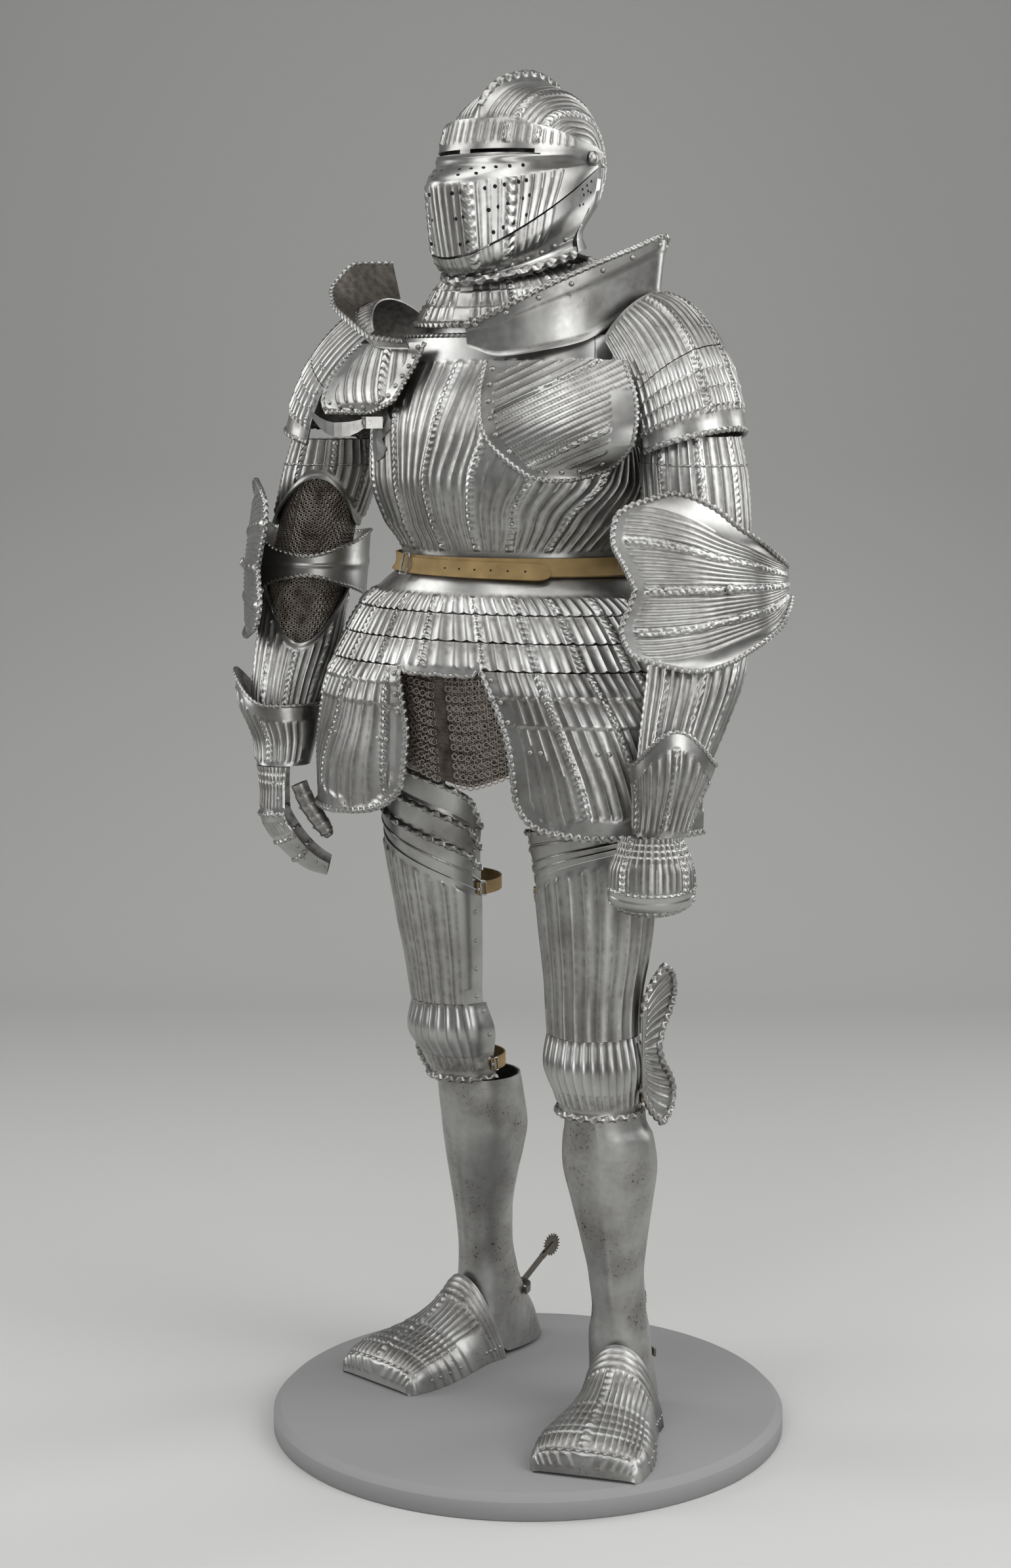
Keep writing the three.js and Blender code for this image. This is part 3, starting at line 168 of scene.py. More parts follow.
# ---------- relief of a fluted plate ----------
def fluting(points, us, lines, counts, ribs=(), depth=None, width=None, pitch=None):
    """Height of flutes and notched ribs over a grid.

    `lines` are the u of the guide lines (numbers or arrays over the grid) and `counts` the flutes
    between them. Flute: depth |2f|^4, f the distance from the hollow's middle, so each crest is
    crisp. Rib: a round bead cut by crescents, |cos(pi (s + x^2 / w) / pitch)|.
    """
    sizes = bpy.context.scene.armour
    depth = depth or sizes.flute_depth * 1000
    width = width or sizes.rib_width * 500
    pitch = pitch or sizes.notch_pitch * 1000
    su, sv = lengths(points)
    u = np.broadcast_to(us, su.shape)
    per_u = np.gradient(su, axis=1) / np.gradient(u, axis=1)
    phase = np.zeros_like(su)
    lines = [np.broadcast_to(line, su.shape) for line in lines]
    for k, count in enumerate(counts):
        phase = phase + count * np.clip((u - lines[k]) / (lines[k + 1] - lines[k]), 0, 1)
    f = phase - np.floor(phase) - 0.5
    inside = (u >= lines[0]) & (u <= lines[-1])
    height = np.where(inside, depth * np.abs(2 * f) ** 4, 0)
    for k in ribs:
        x = (u - lines[k]) * per_u
        bead = np.sqrt(np.clip(1 - (x / width) ** 2, 0, 1))
        notch = np.abs(np.cos(np.pi * (sv + 0.5 * x * x / width) / pitch)) ** 0.7
        # the notch bottoms sit low so that plate() gives them its dark painted shade
        rib = sizes.rib_height * 1000 * bead * (0.16 + 0.84 * notch)
        height = np.where(np.abs(x) < width, rib, height * smooth(np.abs(x), width, width * 1.35))
    return height, phase


FLUTE_STEPS = (0.0, 0.15, 0.5, 0.85)   # places of the columns in one flute
RIB_STEPS = (-1.3, -0.8, 0, 0.8, 1.3)   # and over one rib, in half widths
NARROW = 0.04   # least distance between two columns, mm
MERGE = 0.004   # columns of the helmet closer than this share of the half width are one


def fitted(lines, counts, ribs, low, high, per_unit, width=None):
    """Columns of u that sit on every flute's crest and feet and on every rib.

    `lines` are numbers, or arrays with one value a row; `per_unit` is the millimetres to one unit of u.
    Columns past `low` and `high` are pushed back to the edges, NARROW apart.
    """
    width = width or bpy.context.scene.armour.rib_width * 500
    at = []
    for k, count in enumerate(counts):
        for flute in range(count):
            for step in FLUTE_STEPS:
                at.append(mix(lines[k], lines[k + 1], (flute + step) / count))
    at.append(lines[len(counts)])
    for k in ribs:
        at.extend(lines[k] + step * width / per_unit for step in RIB_STEPS)
    span = np.broadcast_to(high, np.shape(low) or np.shape(lines[0]))
    at = [low + 0 * span, high + 0 * span] + [low + (high - low) * t for t in np.linspace(0.06, 0.94, 8)] + at
    u = np.sort(np.stack(np.broadcast_arrays(*at), -1), -1)
    gaps = np.arange(u.shape[-1]) * NARROW / per_unit
    low, high = np.asarray(low, float)[..., None], np.asarray(high, float)[..., None]
    u = np.maximum.accumulate(np.maximum(u, low) - gaps, -1) + gaps
    return np.minimum(u, high - gaps[::-1])


class Shape:
    """Vertices, triangles, material numbers and painted shade gathered for one piece."""

    def __init__(self):
        self.points, self.faces, self.slots, self.shade, self.maps = [], [], [], [], []
        self.count = 0

    def add(self, points, faces, slot=0, shade=0.0, uv=None):
        points = np.asarray(points, float).reshape(-1, 3)
        faces = np.asarray(faces).reshape(-1, 3)
        self.points.append(points)
        self.faces.append(faces + self.count)
        self.slots.append(np.full(len(faces), slot))
        self.shade.append(np.broadcast_to(np.asarray(shade, float).reshape(-1), (len(points),))
                          if np.size(shade) > 1 else np.full(len(points), float(np.mean(shade))))
        self.maps.append(np.zeros((len(points), 2)) if uv is None else np.asarray(uv, float).reshape(-1, 2))
        self.count += len(points)

    def object(self, name, materials, body, slot, nodes=()):
        """The finished piece: mesh at the origin, riding on its body, standing for its CAD nodes."""
        points = np.concatenate(self.points) * MM
        faces = np.concatenate(self.faces)
        mesh = bpy.data.meshes.new(name)
        mesh.vertices.add(len(points))
        mesh.vertices.foreach_set("co", points.ravel())
        mesh.loops.add(faces.size)
        mesh.loops.foreach_set("vertex_index", faces.ravel().astype(np.int32))
        mesh.polygons.add(len(faces))
        mesh.polygons.foreach_set("loop_start", np.arange(0, faces.size, 3, dtype=np.int32))
        mesh.polygons.foreach_set("material_index", np.concatenate(self.slots).astype(np.int32))
        # painted shade per vertex: dark lines at crest feet, notches, rope grooves and inner faces, read by the
        # steel material
        painted_shade = mesh.attributes.new("painted_shade", "FLOAT", "POINT")
        painted_shade.data.foreach_set("value", np.concatenate(self.shade).astype(np.float32))
        layer = mesh.uv_layers.new(name="UVMap")
        layer.data.foreach_set("uv", np.concatenate(self.maps)[faces.ravel()].ravel())
        mesh.update(calc_edges=True)
        mesh.validate()
        mesh.shade_smooth()
        mesh.set_sharp_from_angle(angle=math.radians(58))
        for material in materials:
            mesh.materials.append(material)
        made = bpy.data.objects.new(name, mesh)
        bpy.context.scene.collection.objects.link(made)
        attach(made, body)
        if nodes:
            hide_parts(*nodes)
        return made


def cells(index, closed=False):
    """Triangles of a grid of vertex numbers, two to a cell."""
    right = np.roll(index, -1, 1) if closed else index[:, 1:]
    left = index if closed else index[:, :-1]
    a, b, c, d = left[:-1], right[:-1], right[1:], left[1:]
    return np.concatenate([np.stack([a, b, c], -1).reshape(-1, 3), np.stack([a, c, d], -1).reshape(-1, 3)])


def grid_normals(points, core, closed=False):
    """Unit normals of a grid by differences, turned away from `core`, and whether they were flipped."""
    if closed:
        along = np.roll(points, -1, 1) - np.roll(points, 1, 1)
    else:
        along = np.gradient(points, axis=1)
    normal = np.cross(along, np.gradient(points, axis=0))
    normal /= np.maximum(np.linalg.norm(normal, axis=2, keepdims=True), 1e-9)
    sign = 1 if np.sum(normal * (points - core)) > 0 else -1
    return normal * sign, sign


def plate(shape, points, core, relief=0.0, wall=None, closed=False, coarse=6, slot=0, keep=None, shade=None,
          inner_slot=None, uv=None):
    """A wall: outer = points + relief along the normal; inner = points - wall, on a coarser grid; closed
    rims.

    Returns the outer points and the normals. `keep` is an array of cells, False where the plate is open.
    """
    sizes = bpy.context.scene.armour
    wall = wall or sizes.plate_wall * 1000
    rows, columns = points.shape[:2]
    normal, sign = grid_normals(points, core, closed)
    relief = np.broadcast_to(relief, points.shape[:2])
    outer = points + normal * relief[..., None]
    if keep is not None:
        coarse = 1
    iv = np.unique(np.r_[0:rows:coarse, rows - 1])
    iu = np.arange(0, columns, coarse) if closed else np.unique(np.r_[0:columns:coarse, columns - 1])
    inner = (points - normal * wall)[np.ix_(iv, iu)]
    index = np.arange(rows * columns).reshape(rows, columns)
    behind = index.size + np.arange(len(iv) * len(iu)).reshape(len(iv), len(iu))
    if keep is None:
        front, back = cells(index, closed), cells(behind, closed)[:, ::-1]
        near_u = behind[:, np.searchsorted(iu, np.arange(columns), side="right") - 1]
        near_v = behind[np.searchsorted(iv, np.arange(rows), side="right") - 1]
        rims = []

        def rim(edge, base, turned):
            if closed and len(edge) == columns and turned is not None:
                edge, base = np.append(edge, edge[0]), np.append(base, base[0])
            a, b, c, d = edge[:-1], edge[1:], base[:-1], base[1:]
            one, two = np.stack([a, b, c], 1), np.stack([b, d, c], 1)[c != d]
            both = np.concatenate([one, two])
            rims.append(both[:, ::-1] if turned else both)

        rim(index[0], near_u[0], True)
        rim(index[-1], near_u[-1], False)
        if not closed:
            rim(index[:, 0], near_v[:, 0], False)
            rim(index[:, -1], near_v[:, -1], True)
        rims = np.concatenate(rims)
    else:
        a, b, c, d = index[:-1, :-1], index[:-1, 1:], index[1:, 1:], index[1:, :-1]
        k = keep
        quads = np.stack([a[k], b[k], c[k], d[k]], 1)
        front = np.concatenate([quads[:, [0, 1, 2]], quads[:, [0, 2, 3]]])
        back = front[:, ::-1] + index.size
        padded = np.pad(keep, 1)
        rims = []
        for (dv, du), (s, e) in (((-1, 0), (1, 0)), ((1, 0), (3, 2)), ((0, -1), (0, 3)), ((0, 1), (2, 1))):
            beside = padded[1 + dv:padded.shape[0] - 1 + dv, 1 + du:padded.shape[1] - 1 + du]
            at = keep & ~beside
            corners = (a, b, c, d)
            s, e = corners[s][at], corners[e][at]
            rims.append(np.stack([s, e, e + index.size], 1))
            rims.append(np.stack([s, e + index.size, s + index.size], 1))
        rims = np.concatenate(rims)
    faces = np.concatenate([front, back, rims])
    slots = np.full(len(faces), slot)
    if inner_slot is not None:
        slots[len(front):len(front) + len(back)] = inner_slot
    if sign < 0:
        faces = faces[:, ::-1]
    # painted shade: a dark line at the foot of each crest and in the rib notches, from the relief; plain plates
    # get a faint even 0.1, and the inner faces the full painted shade
    if shade is None:
        shade = smooth(relief, 0.01, 0.16) * (1
                - smooth(relief, 0.55, 1.2)) if np.ptp(relief) > 0.3 else 0.1 + 0 * relief
    shade = np.concatenate([np.broadcast_to(shade, relief.shape).ravel(),
            np.full(inner.shape[0] * inner.shape[1], 1.0)])
    if uv is not None:
        uv = np.concatenate([uv.reshape(-1, 2), uv[np.ix_(iv, iu)].reshape(-1, 2)])
    shape.add(np.concatenate([outer.reshape(-1, 3), inner.reshape(-1, 3)]), faces, 0, shade, uv)
    shape.slots[-1] = slots
    return outer, normal


def resample(path, step, closed=False):
    """Points evenly spaced along a path, and their places as fractions of its rows."""
    path = np.asarray(path, float)
    if closed:
        path = np.concatenate([path, path[:1]])
    s = np.concatenate([[0], np.cumsum(np.linalg.norm(np.diff(path, axis=0), axis=1))])
    count = max(4, int(round(s[-1] / step)))
    at = np.linspace(0, s[-1], count + 1)
    if closed:
        at = at[:-1]
    return np.stack([np.interp(at, s, path[:, k]) for k in range(3)], 1), at, s


def rope(shape, path, normals=None, radius=None, pitch=None, strands=2, closed=False, depth=0.42, slot=0,
        turn=1,
         sink=0.0, around=6):
    """A turned edge cut like a rope: a tube whose radius is R (1 - depth + depth |cos((strands a - 2 pi
    s / pitch) / 2)|)."""
    sizes = bpy.context.scene.armour
    radius = radius or sizes.rope_radius * 1000
    pitch = pitch or sizes.rope_pitch * 1000
    path = np.asarray(path, float)
    step = pitch / 5 if depth else radius * 2
    line, at, s = resample(path, step, closed)
    if normals is None:
        middle = line.mean(0)
        normals_at = line - middle
    else:
        normals = np.asarray(normals, float)
        if closed:
            normals = np.concatenate([normals, normals[:1]])
        normals_at = np.stack([np.interp(at, s, normals[:, k]) for k in range(3)], 1)
        line = line - normals_at * sink
    if closed:
        tangent = np.roll(line, -1, 0) - np.roll(line, 1, 0)
    else:
        tangent = np.gradient(line, axis=0)
    tangent /= np.linalg.norm(tangent, axis=1, keepdims=True)
    side = np.cross(tangent, normals_at)
    side /= np.maximum(np.linalg.norm(side, axis=1, keepdims=True), 1e-9)
    out = np.cross(side, tangent)
    if closed:
        pitch = at[1] * len(at) / max(1, round(at[1] * len(at) / pitch))
    a = np.linspace(0, 2 * np.pi, around, endpoint=False)
    wave = np.abs(np.cos((strands * a[None] * turn - 2 * np.pi * at[:, None] / pitch) / 2))
    r = radius * (1 - depth + depth * wave)
    points = line[:, None] + r[..., None] * (np.cos(a)[None, :, None] * out[:, None]
            + np.sin(a)[None, :, None] * side[:, None])
    n = len(line)
    index = np.arange(n * around).reshape(n, around)
    if closed:
        index = np.concatenate([index, index[:1]])
    faces = cells(index, True)[:, ::-1]
    # painted shade: darker in the grooves between the strands
    shade = 1 - wave
    if closed:
        shape.add(points, faces, slot, shade)
        return
    ends = []
    for row, turned in ((0, False), (n - 1, True)):
        fan = np.stack([np.full(around - 2, index[row, 0]), index[row, 1:-1], index[row, 2:]], 1)
        ends.append(fan[:, ::-1] if turned else fan)
    shape.add(points, np.concatenate([faces, *ends]), slot, shade)


def rivets(shape, places, normals, radius=None, height=None, slot=0, sides=8):
    """Low domes: radius R cos t, height h sin t, with the foot sunk 0.6 mm in the plate."""
    sizes = bpy.context.scene.armour
    radius = radius or sizes.rivet_radius * 1000
    height = height or radius * 0.75
    places = np.asarray(places, float).reshape(-1, 3)
    normals = np.asarray(normals, float).reshape(-1, 3)
    normals = normals / np.linalg.norm(normals, axis=1, keepdims=True)
    helper = np.where(np.abs(normals[:, 2:]) < 0.9, np.array([[0, 0, 1.0]]), np.array([[1.0, 0, 0]]))
    e1 = np.cross(normals, helper)
    e1 /= np.linalg.norm(e1, axis=1, keepdims=True)
    e2 = np.cross(normals, e1)
    a = np.linspace(0, 2 * np.pi, sides, endpoint=False)
    rings = [(radius, -0.6), (radius, 0.25 * height), (radius * 0.72, 0.78 * height)]
    points = []
    for r, h in rings:
        points.append(places[:, None] + r * (np.cos(a)[None, :, None] * e1[:, None]
                + np.sin(a)[None, :, None] * e2[:, None]) + h * normals[:, None])
    points.append((places + height * normals)[:, None])
    points.append((places - 0.6 * normals)[:, None])
    block = np.concatenate(points, 1)
    index = np.arange(3 * sides).reshape(3, sides)
    faces = [cells(index, True)[:, ::-1]]
    top = np.stack([index[2], np.roll(index[2], -1), np.full(sides, 3 * sides)], 1)
    low = np.stack([np.roll(index[0], -1), index[0], np.full(sides, 3 * sides + 1)], 1)
    faces = np.concatenate(faces + [top[:, ::-1], low[:, ::-1]])
    total = block.shape[1]
    faces = (faces[None] + (np.arange(len(places)) * total)[:, None, None]).reshape(-1, 3)
    shape.add(block, faces, slot, 0.15)


def holes(shape, places, normals, radius=2.4, slot=1):
    """Round holes, as black discs of painted shade that stand 0.25 mm over the plate."""
    rivets(shape, places, normals, radius, 0.35, slot)


def on_grid(outer, normals, rows, columns):
    """Points and normals of a grid at fractions 0..1 of its rows and of the length along a row."""
    r, c = np.broadcast_arrays(np.asarray(rows, float), np.asarray(columns, float))
    r, c = r.ravel() * (outer.shape[0] - 1), c.ravel()
    along = lengths(outer)[0]
    places = np.arange(outer.shape[1])
    c = np.array([np.interp(b * along[int(a), -1], along[int(a)], places) for a, b in zip(r, c)])
    i, j = np.minimum(r.astype(int), outer.shape[0] - 2), np.minimum(c.astype(int), outer.shape[1] - 2)
    fr, fc = (r - i)[:, None], (c - j)[:, None]

    def take(g):
        return (g[i, j] * (1 - fr) * (1 - fc) + g[i + 1, j] * fr * (1 - fc)
                + g[i, j + 1] * (1 - fr) * fc + g[i + 1, j + 1] * fr * fc)

    return take(outer), take(normals)


# ---------- materials ----------
def colour(code):
    """sRGB hex value as linear RGBA."""
    parts = [int(code[i:i + 2], 16) / 255 for i in (1, 3, 5)]
    return (*[c / 12.92 if c <= 0.04045 else ((c + 0.055) / 1.055) ** 2.4 for c in parts], 1.0)


def node(tree, kind, inputs=None, **settings):
    """Adds a node; each input is a value or the socket that feeds it."""
    made = tree.nodes.new(kind)
    for name, value in settings.items():
        setattr(made, name, value)
    for name, value in (inputs or {}).items():
        socket = made.inputs[name]
        if isinstance(value, bpy.types.NodeSocket):
            tree.links.new(value, socket)
        else:
            socket.default_value = value
    return made


def start(name):
    """A new material with its tree cleared to an output and a Principled shader."""
    material = bpy.data.materials.new(name)
    material.use_nodes = True
    tree = material.node_tree
    tree.nodes.clear()
    output = node(tree, "ShaderNodeOutputMaterial")
    shader = node(tree, "ShaderNodeBsdfPrincipled")
    tree.links.new(shader.outputs[0], output.inputs["Surface"])
    return material, tree, shader


def ramp(tree, value, low, high):
    """0 at low and 1 at high, straight between."""
    return node(tree, "ShaderNodeMapRange", {"Value": value, "From Min": low, "From Max": high}).outputs[0]


def blend_colour(tree, factor, a, b):
    """Colour a at factor 0, b at 1."""
    return node(tree, "ShaderNodeMix", {0: factor, 6: a, 7: b}, data_type="RGBA").outputs[2]


def maths(tree, operation, a, b=0.0):
    """One Math node."""
    return node(tree, "ShaderNodeMath", {0: a, 1: b}, operation=operation).outputs[0]


def steel_material(name, bright, dull, rough, pits):
    """Hammered and polished plate steel, centuries old: soft mirror, grey patina in drifts, rust pits.

    The eye gets broad soft reflections on the crests and small black specks on flat plates; crest feet, rib
    notches, rope grooves and inner faces are darkened by painted shade from the mesh's shade attribute, partly
    read as residue.
    """
    material, tree, shader = start(name)
    place = node(tree, "ShaderNodeTexCoord").outputs["Object"]
    painted_shade = node(tree, "ShaderNodeAttribute", attribute_name="painted_shade").outputs["Fac"]
    # patina drifts over 70 mm, polish streaks over 9 mm, pits are 1.4 mm across
    cloud = node(tree, "ShaderNodeTexNoise",
            {"Vector": place, "Scale": 1 / 0.07, "Detail": 4.0}).outputs["Fac"]
    fine = node(tree, "ShaderNodeTexNoise",
            {"Vector": place, "Scale": 1 / 0.009, "Detail": 5.0}).outputs["Fac"]
    speck = node(tree, "ShaderNodeTexNoise",
            {"Vector": place, "Scale": 1 / 0.0042, "Detail": 3.0}).outputs["Fac"]
    spot = maths(tree, "MULTIPLY", ramp(tree, speck, 0.60, 0.68), ramp(tree, cloud, 0.66 - pits, 0.86 - pits))
    # painted shade: mixes the steel towards the patina colour where the shade attribute is high, broken up by
    # fine noise, partly as residue in the grooves
    residue_and_painted_shade = maths(tree, "MULTIPLY", painted_shade, ramp(tree, fine, 0.2, 0.75))
    base = blend_colour(tree, maths(tree, "MULTIPLY", residue_and_painted_shade, 0.85), bright, dull)
    base = blend_colour(tree, ramp(tree, cloud, 0.4, 0.95), base, dull)
    base = blend_colour(tree, maths(tree, "MULTIPLY", spot, 0.85), base, colour("#2b2622"))
    tree.links.new(base, shader.inputs["Base Color"])
    shader.inputs["Metallic"].default_value = 1.0
    worn = maths(tree, "ADD", maths(tree, "MULTIPLY", fine, 0.16), rough - 0.08)
    worn = maths(tree, "ADD", worn,
            maths(tree, "MULTIPLY", maths(tree, "ADD", spot, maths(tree, "MULTIPLY", painted_shade, 0.35)), 0.28))
    tree.links.new(worn, shader.inputs["Roughness"])
    dent = maths(tree, "SUBTRACT", maths(tree, "MULTIPLY", fine, 0.35), spot)
    bump = node(tree, "ShaderNodeBump", {"Height": dent, "Strength": 0.35, "Distance": 0.0004})
    tree.links.new(bump.outputs[0], shader.inputs["Normal"])
    return material


def leather_material(name, light, dark):
    """Buff or oil-dark strap leather, cut and waxed: matt, with a fine grain and worn patches."""
    material, tree, shader = start(name)
    place = node(tree, "ShaderNodeTexCoord").outputs["Object"]
    cloud = node(tree, "ShaderNodeTexNoise",
            {"Vector": place, "Scale": 1 / 0.03, "Detail": 6.0}).outputs["Fac"]
    grain = node(tree, "ShaderNodeTexNoise",
            {"Vector": place, "Scale": 1 / 0.0012, "Detail": 3.0}).outputs["Fac"]
    base = blend_colour(tree, ramp(tree, cloud, 0.3, 0.75), light, dark)
    tree.links.new(base, shader.inputs["Base Color"])
    shader.inputs["Roughness"].default_value = 0.85
    bump = node(tree, "ShaderNodeBump", {"Height": grain, "Strength": 0.4, "Distance": 0.0004})
    tree.links.new(bump.outputs[0], shader.inputs["Normal"])
    return material


def mail_material(name, ring, dark):
    """Riveted iron mail, browned: rows of rings, the gaps between them painted almost black as the shade behind
    the rings.

    The UV map is in millimetres. Rings sit in staggered rows; light falls on a band round each centre.
    """
    material, tree, shader = start(name)
    pitch = bpy.context.scene.armour.fine_ring * 1000
    uv = node(tree, "ShaderNodeSeparateXYZ", {0: node(tree, "ShaderNodeTexCoord").outputs["UV"]}).outputs
    row = maths(tree, "DIVIDE", uv[1], pitch * 0.72)
    odd = maths(tree, "MULTIPLY", maths(tree, "FLOORED_MODULO", maths(tree, "FLOOR", row), 2.0), 0.5)
    across = maths(tree, "FRACT", maths(tree, "ADD", maths(tree, "DIVIDE", uv[0], pitch), odd))
    x = maths(tree, "SUBTRACT", across, 0.5)
    y = maths(tree, "MULTIPLY", maths(tree, "SUBTRACT", maths(tree, "FRACT", row), 0.5), 0.9)
    radius = maths(tree, "SQRT",
            maths(tree, "ADD", maths(tree, "MULTIPLY", x, x), maths(tree, "MULTIPLY", y, y)))
    band = maths(tree, "SUBTRACT", 1.0,
            maths(tree, "DIVIDE", maths(tree, "ABSOLUTE", maths(tree, "SUBTRACT", radius, 0.36)), 0.2))
    wire = node(tree, "ShaderNodeClamp", {0: band}).outputs[0]
    place = node(tree, "ShaderNodeTexCoord").outputs["Object"]
    rust = node(tree, "ShaderNodeTexNoise",
            {"Vector": place, "Scale": 1 / 0.02, "Detail": 5.0}).outputs["Fac"]
    iron = blend_colour(tree, ramp(tree, rust, 0.45, 0.7), ring, colour("#6d5b4c"))
    # painted shade: the gaps between the rings are near black
    tree.links.new(blend_colour(tree, wire, dark, iron), shader.inputs["Base Color"])
    shader.inputs["Metallic"].default_value = 0.6
    shader.inputs["Roughness"].default_value = 0.42
    bump = node(tree, "ShaderNodeBump", {"Height": wire, "Strength": 0.9, "Distance": 0.0012})
    tree.links.new(bump.outputs[0], shader.inputs["Normal"])
    return material


def plain_material(name, shade, rough, metal=0.0):
    """One even finish: paint on fibreboard, browned iron wire, waxed thong, or the near black painted shade of a
    hole.
    """
    material, _, shader = start(name)
    shader.inputs["Base Color"].default_value = shade
    shader.inputs["Roughness"].default_value = rough
    shader.inputs["Metallic"].default_value = metal
    return material


def materials():
    """The materials by name, made once."""
    if not MADE:
        s = bpy.context.scene.armour
        bright, dull = tuple(s.steel_bright), tuple(s.steel_dull)
        MADE["steel"] = steel_material("aged polished steel", bright, dull, 0.34, 0.02)
        MADE["pitted"] = steel_material("pitted steel", bright, dull, 0.4, 0.2)
        MADE["dark"] = steel_material("browned steel", colour("#77726c"), colour("#39352f"), 0.45, 0.2)
        # painted shade: the near black inside of a hole, on discs over the plate
        MADE["hole"] = plain_material("dark of a hole", colour("#050505"), 0.9)
        # the second colour is the near black painted shade in the gaps of the mail
        MADE["mail"] = mail_material("iron mail", colour("#b9b0a6"), colour("#0f0d0c"))
        MADE["ring"] = plain_material("browned iron wire", colour("#9a928a"), 0.36, 0.95)
        MADE["leather"] = leather_material("buff leather", tuple(s.leather), colour("#7c6640"))
        MADE["strap"] = leather_material("oiled strap leather", colour("#3d352c"), colour("#211c18"))
        MADE["thong"] = leather_material("pale thong leather", colour("#cbbb92"), colour("#a89467"))
        MADE["paint"] = plain_material("matt grey paint on fibreboard", tuple(s.plinth_grey), 0.62)
    return MADE


MADE = {}


def steel_piece(shape, name, body, nodes, first="steel"):
    """A finished piece with the slots steel, hole, dark, leather and strap."""
    m = materials()
    return shape.object(name, [m[first], m["hole"], m["dark"], m["leather"], m["strap"]], body,
            "bright_steel", nodes)


DARK, LEATHER = 2, 3   # slots of a steel piece: 0 steel, 1 hole, 2 dark, 3 leather, 4 strap


AXIS = 0.01   # radius of a turned profile's ends, mm


def lathe(shape, profile, sides, place, slot=0, shade=0.3):
    """A closed profile of (radius, height) turned about an axis; `place` takes (x, y, height)."""
    profile = np.array(profile, float)
    a = np.linspace(0, 2 * np.pi, sides, endpoint=False)
    r, h = profile[:, :1], profile[:, 1:]
    points = place(r * np.cos(a), r * np.sin(a), h + 0 * a)
    index = np.arange(len(profile) * sides).reshape(len(profile), sides)
    shape.add(points, cells(index, True), slot, shade)


# ---------- base ----------
BASE = {"radius": 350.0, "thick": 34.0, "chamfer": 10.0}


def build_base():
    """The round base: a turned profile with a chamfer round its upper edge."""
    shape = Shape()
    r, t, c = BASE["radius"], BASE["thick"], BASE["chamfer"]
    profile = [
        (AXIS, 0), (r - 1, 0), (r, 1), (r, t - c), (r - 0.4, t - c + 0.7), (r - c + 0.7, t - 0.4), (r - c, t),
        (AXIS, t),
    ]
    lathe(shape, profile, 180, lambda x, y, z: np.stack([x, y, z], -1))
    shape.object("plinth_painted", [materials()["paint"]], "suit", "plinth_paint", ["plinth"])


# ---------- trunk ----------
TRUNK = table(
    "z side front back square",
    (845, 289, 203, 190, 2.7), (906, 290, 205, 188, 2.7), (987, 285, 209, 184, 2.55), (1028, 277, 211, 180,
            2.45),
    (1057, 268, 207, 176, 2.3), (1092, 255, 194, 170, 2.2), (1126, 238, 182, 162, 2.1), (1155, 207, 170, 150,
            2),
    (1186, 171, 160, 139, 2), (1204, 172, 161, 138, 2), (1240, 193, 174, 145, 2.15), (1300, 206, 188, 152,
            2.3),
    (1350, 206, 184, 155, 2.3), (1400, 202, 166, 152, 2.3), (1440, 192, 142, 145, 2.3), (1478, 176, 127, 132,
            2.3),
    (1505, 160, 118, 118, 2.2),
)
BREAST_EDGE = table(
    "z breast back",
    (1176, 86, 87), (1300, 86, 87), (1330, 78, 93), (1362, 66, 104), (1400, 57, 113), (1440, 53, 118),
    (1478, 55, 117), (1505, 55, 112),
)
# guide lines of the breast's fan, as angles at each height
BREAST_LINES = table(
    "z a b c d e f g h i j",
    (1204, -84, -66, -48, -29.5, -9, 9, 23.5, 40, 58, 84),
    (1250, -84, -64, -44, -24.5, -8.6, 6.5, 23.5, 46.5, 66, 84),
    (1295, -82, -62, -44, -22.6, -7.8, 7.5, 29.5, 60, 74, 84),
    (1346, -76, -62, -47, -24.3, -5.5, 11.5, 37, 66, 72, 76),
    (1400, -58, -56, -51, -27, -3.7, 14.5, 40, 52, 56, 58),
    (1450, -54, -53, -51, -29, -2.6, 17, 42, 50, 52, 54),
)


def ring_plate(shape, form, angle, z, lift=0.0, **options):
    """A plate on a ring form, lifted straight out from the axis."""
    points = ring_point(form, angle, z)
    core = ring_core(form, z)
    out = points - core
    out /= np.linalg.norm(out, axis=2, keepdims=True)
    points = points + out * np.broadcast_to(lift, z.shape)[..., None]
    return plate(shape, points, core, **options)


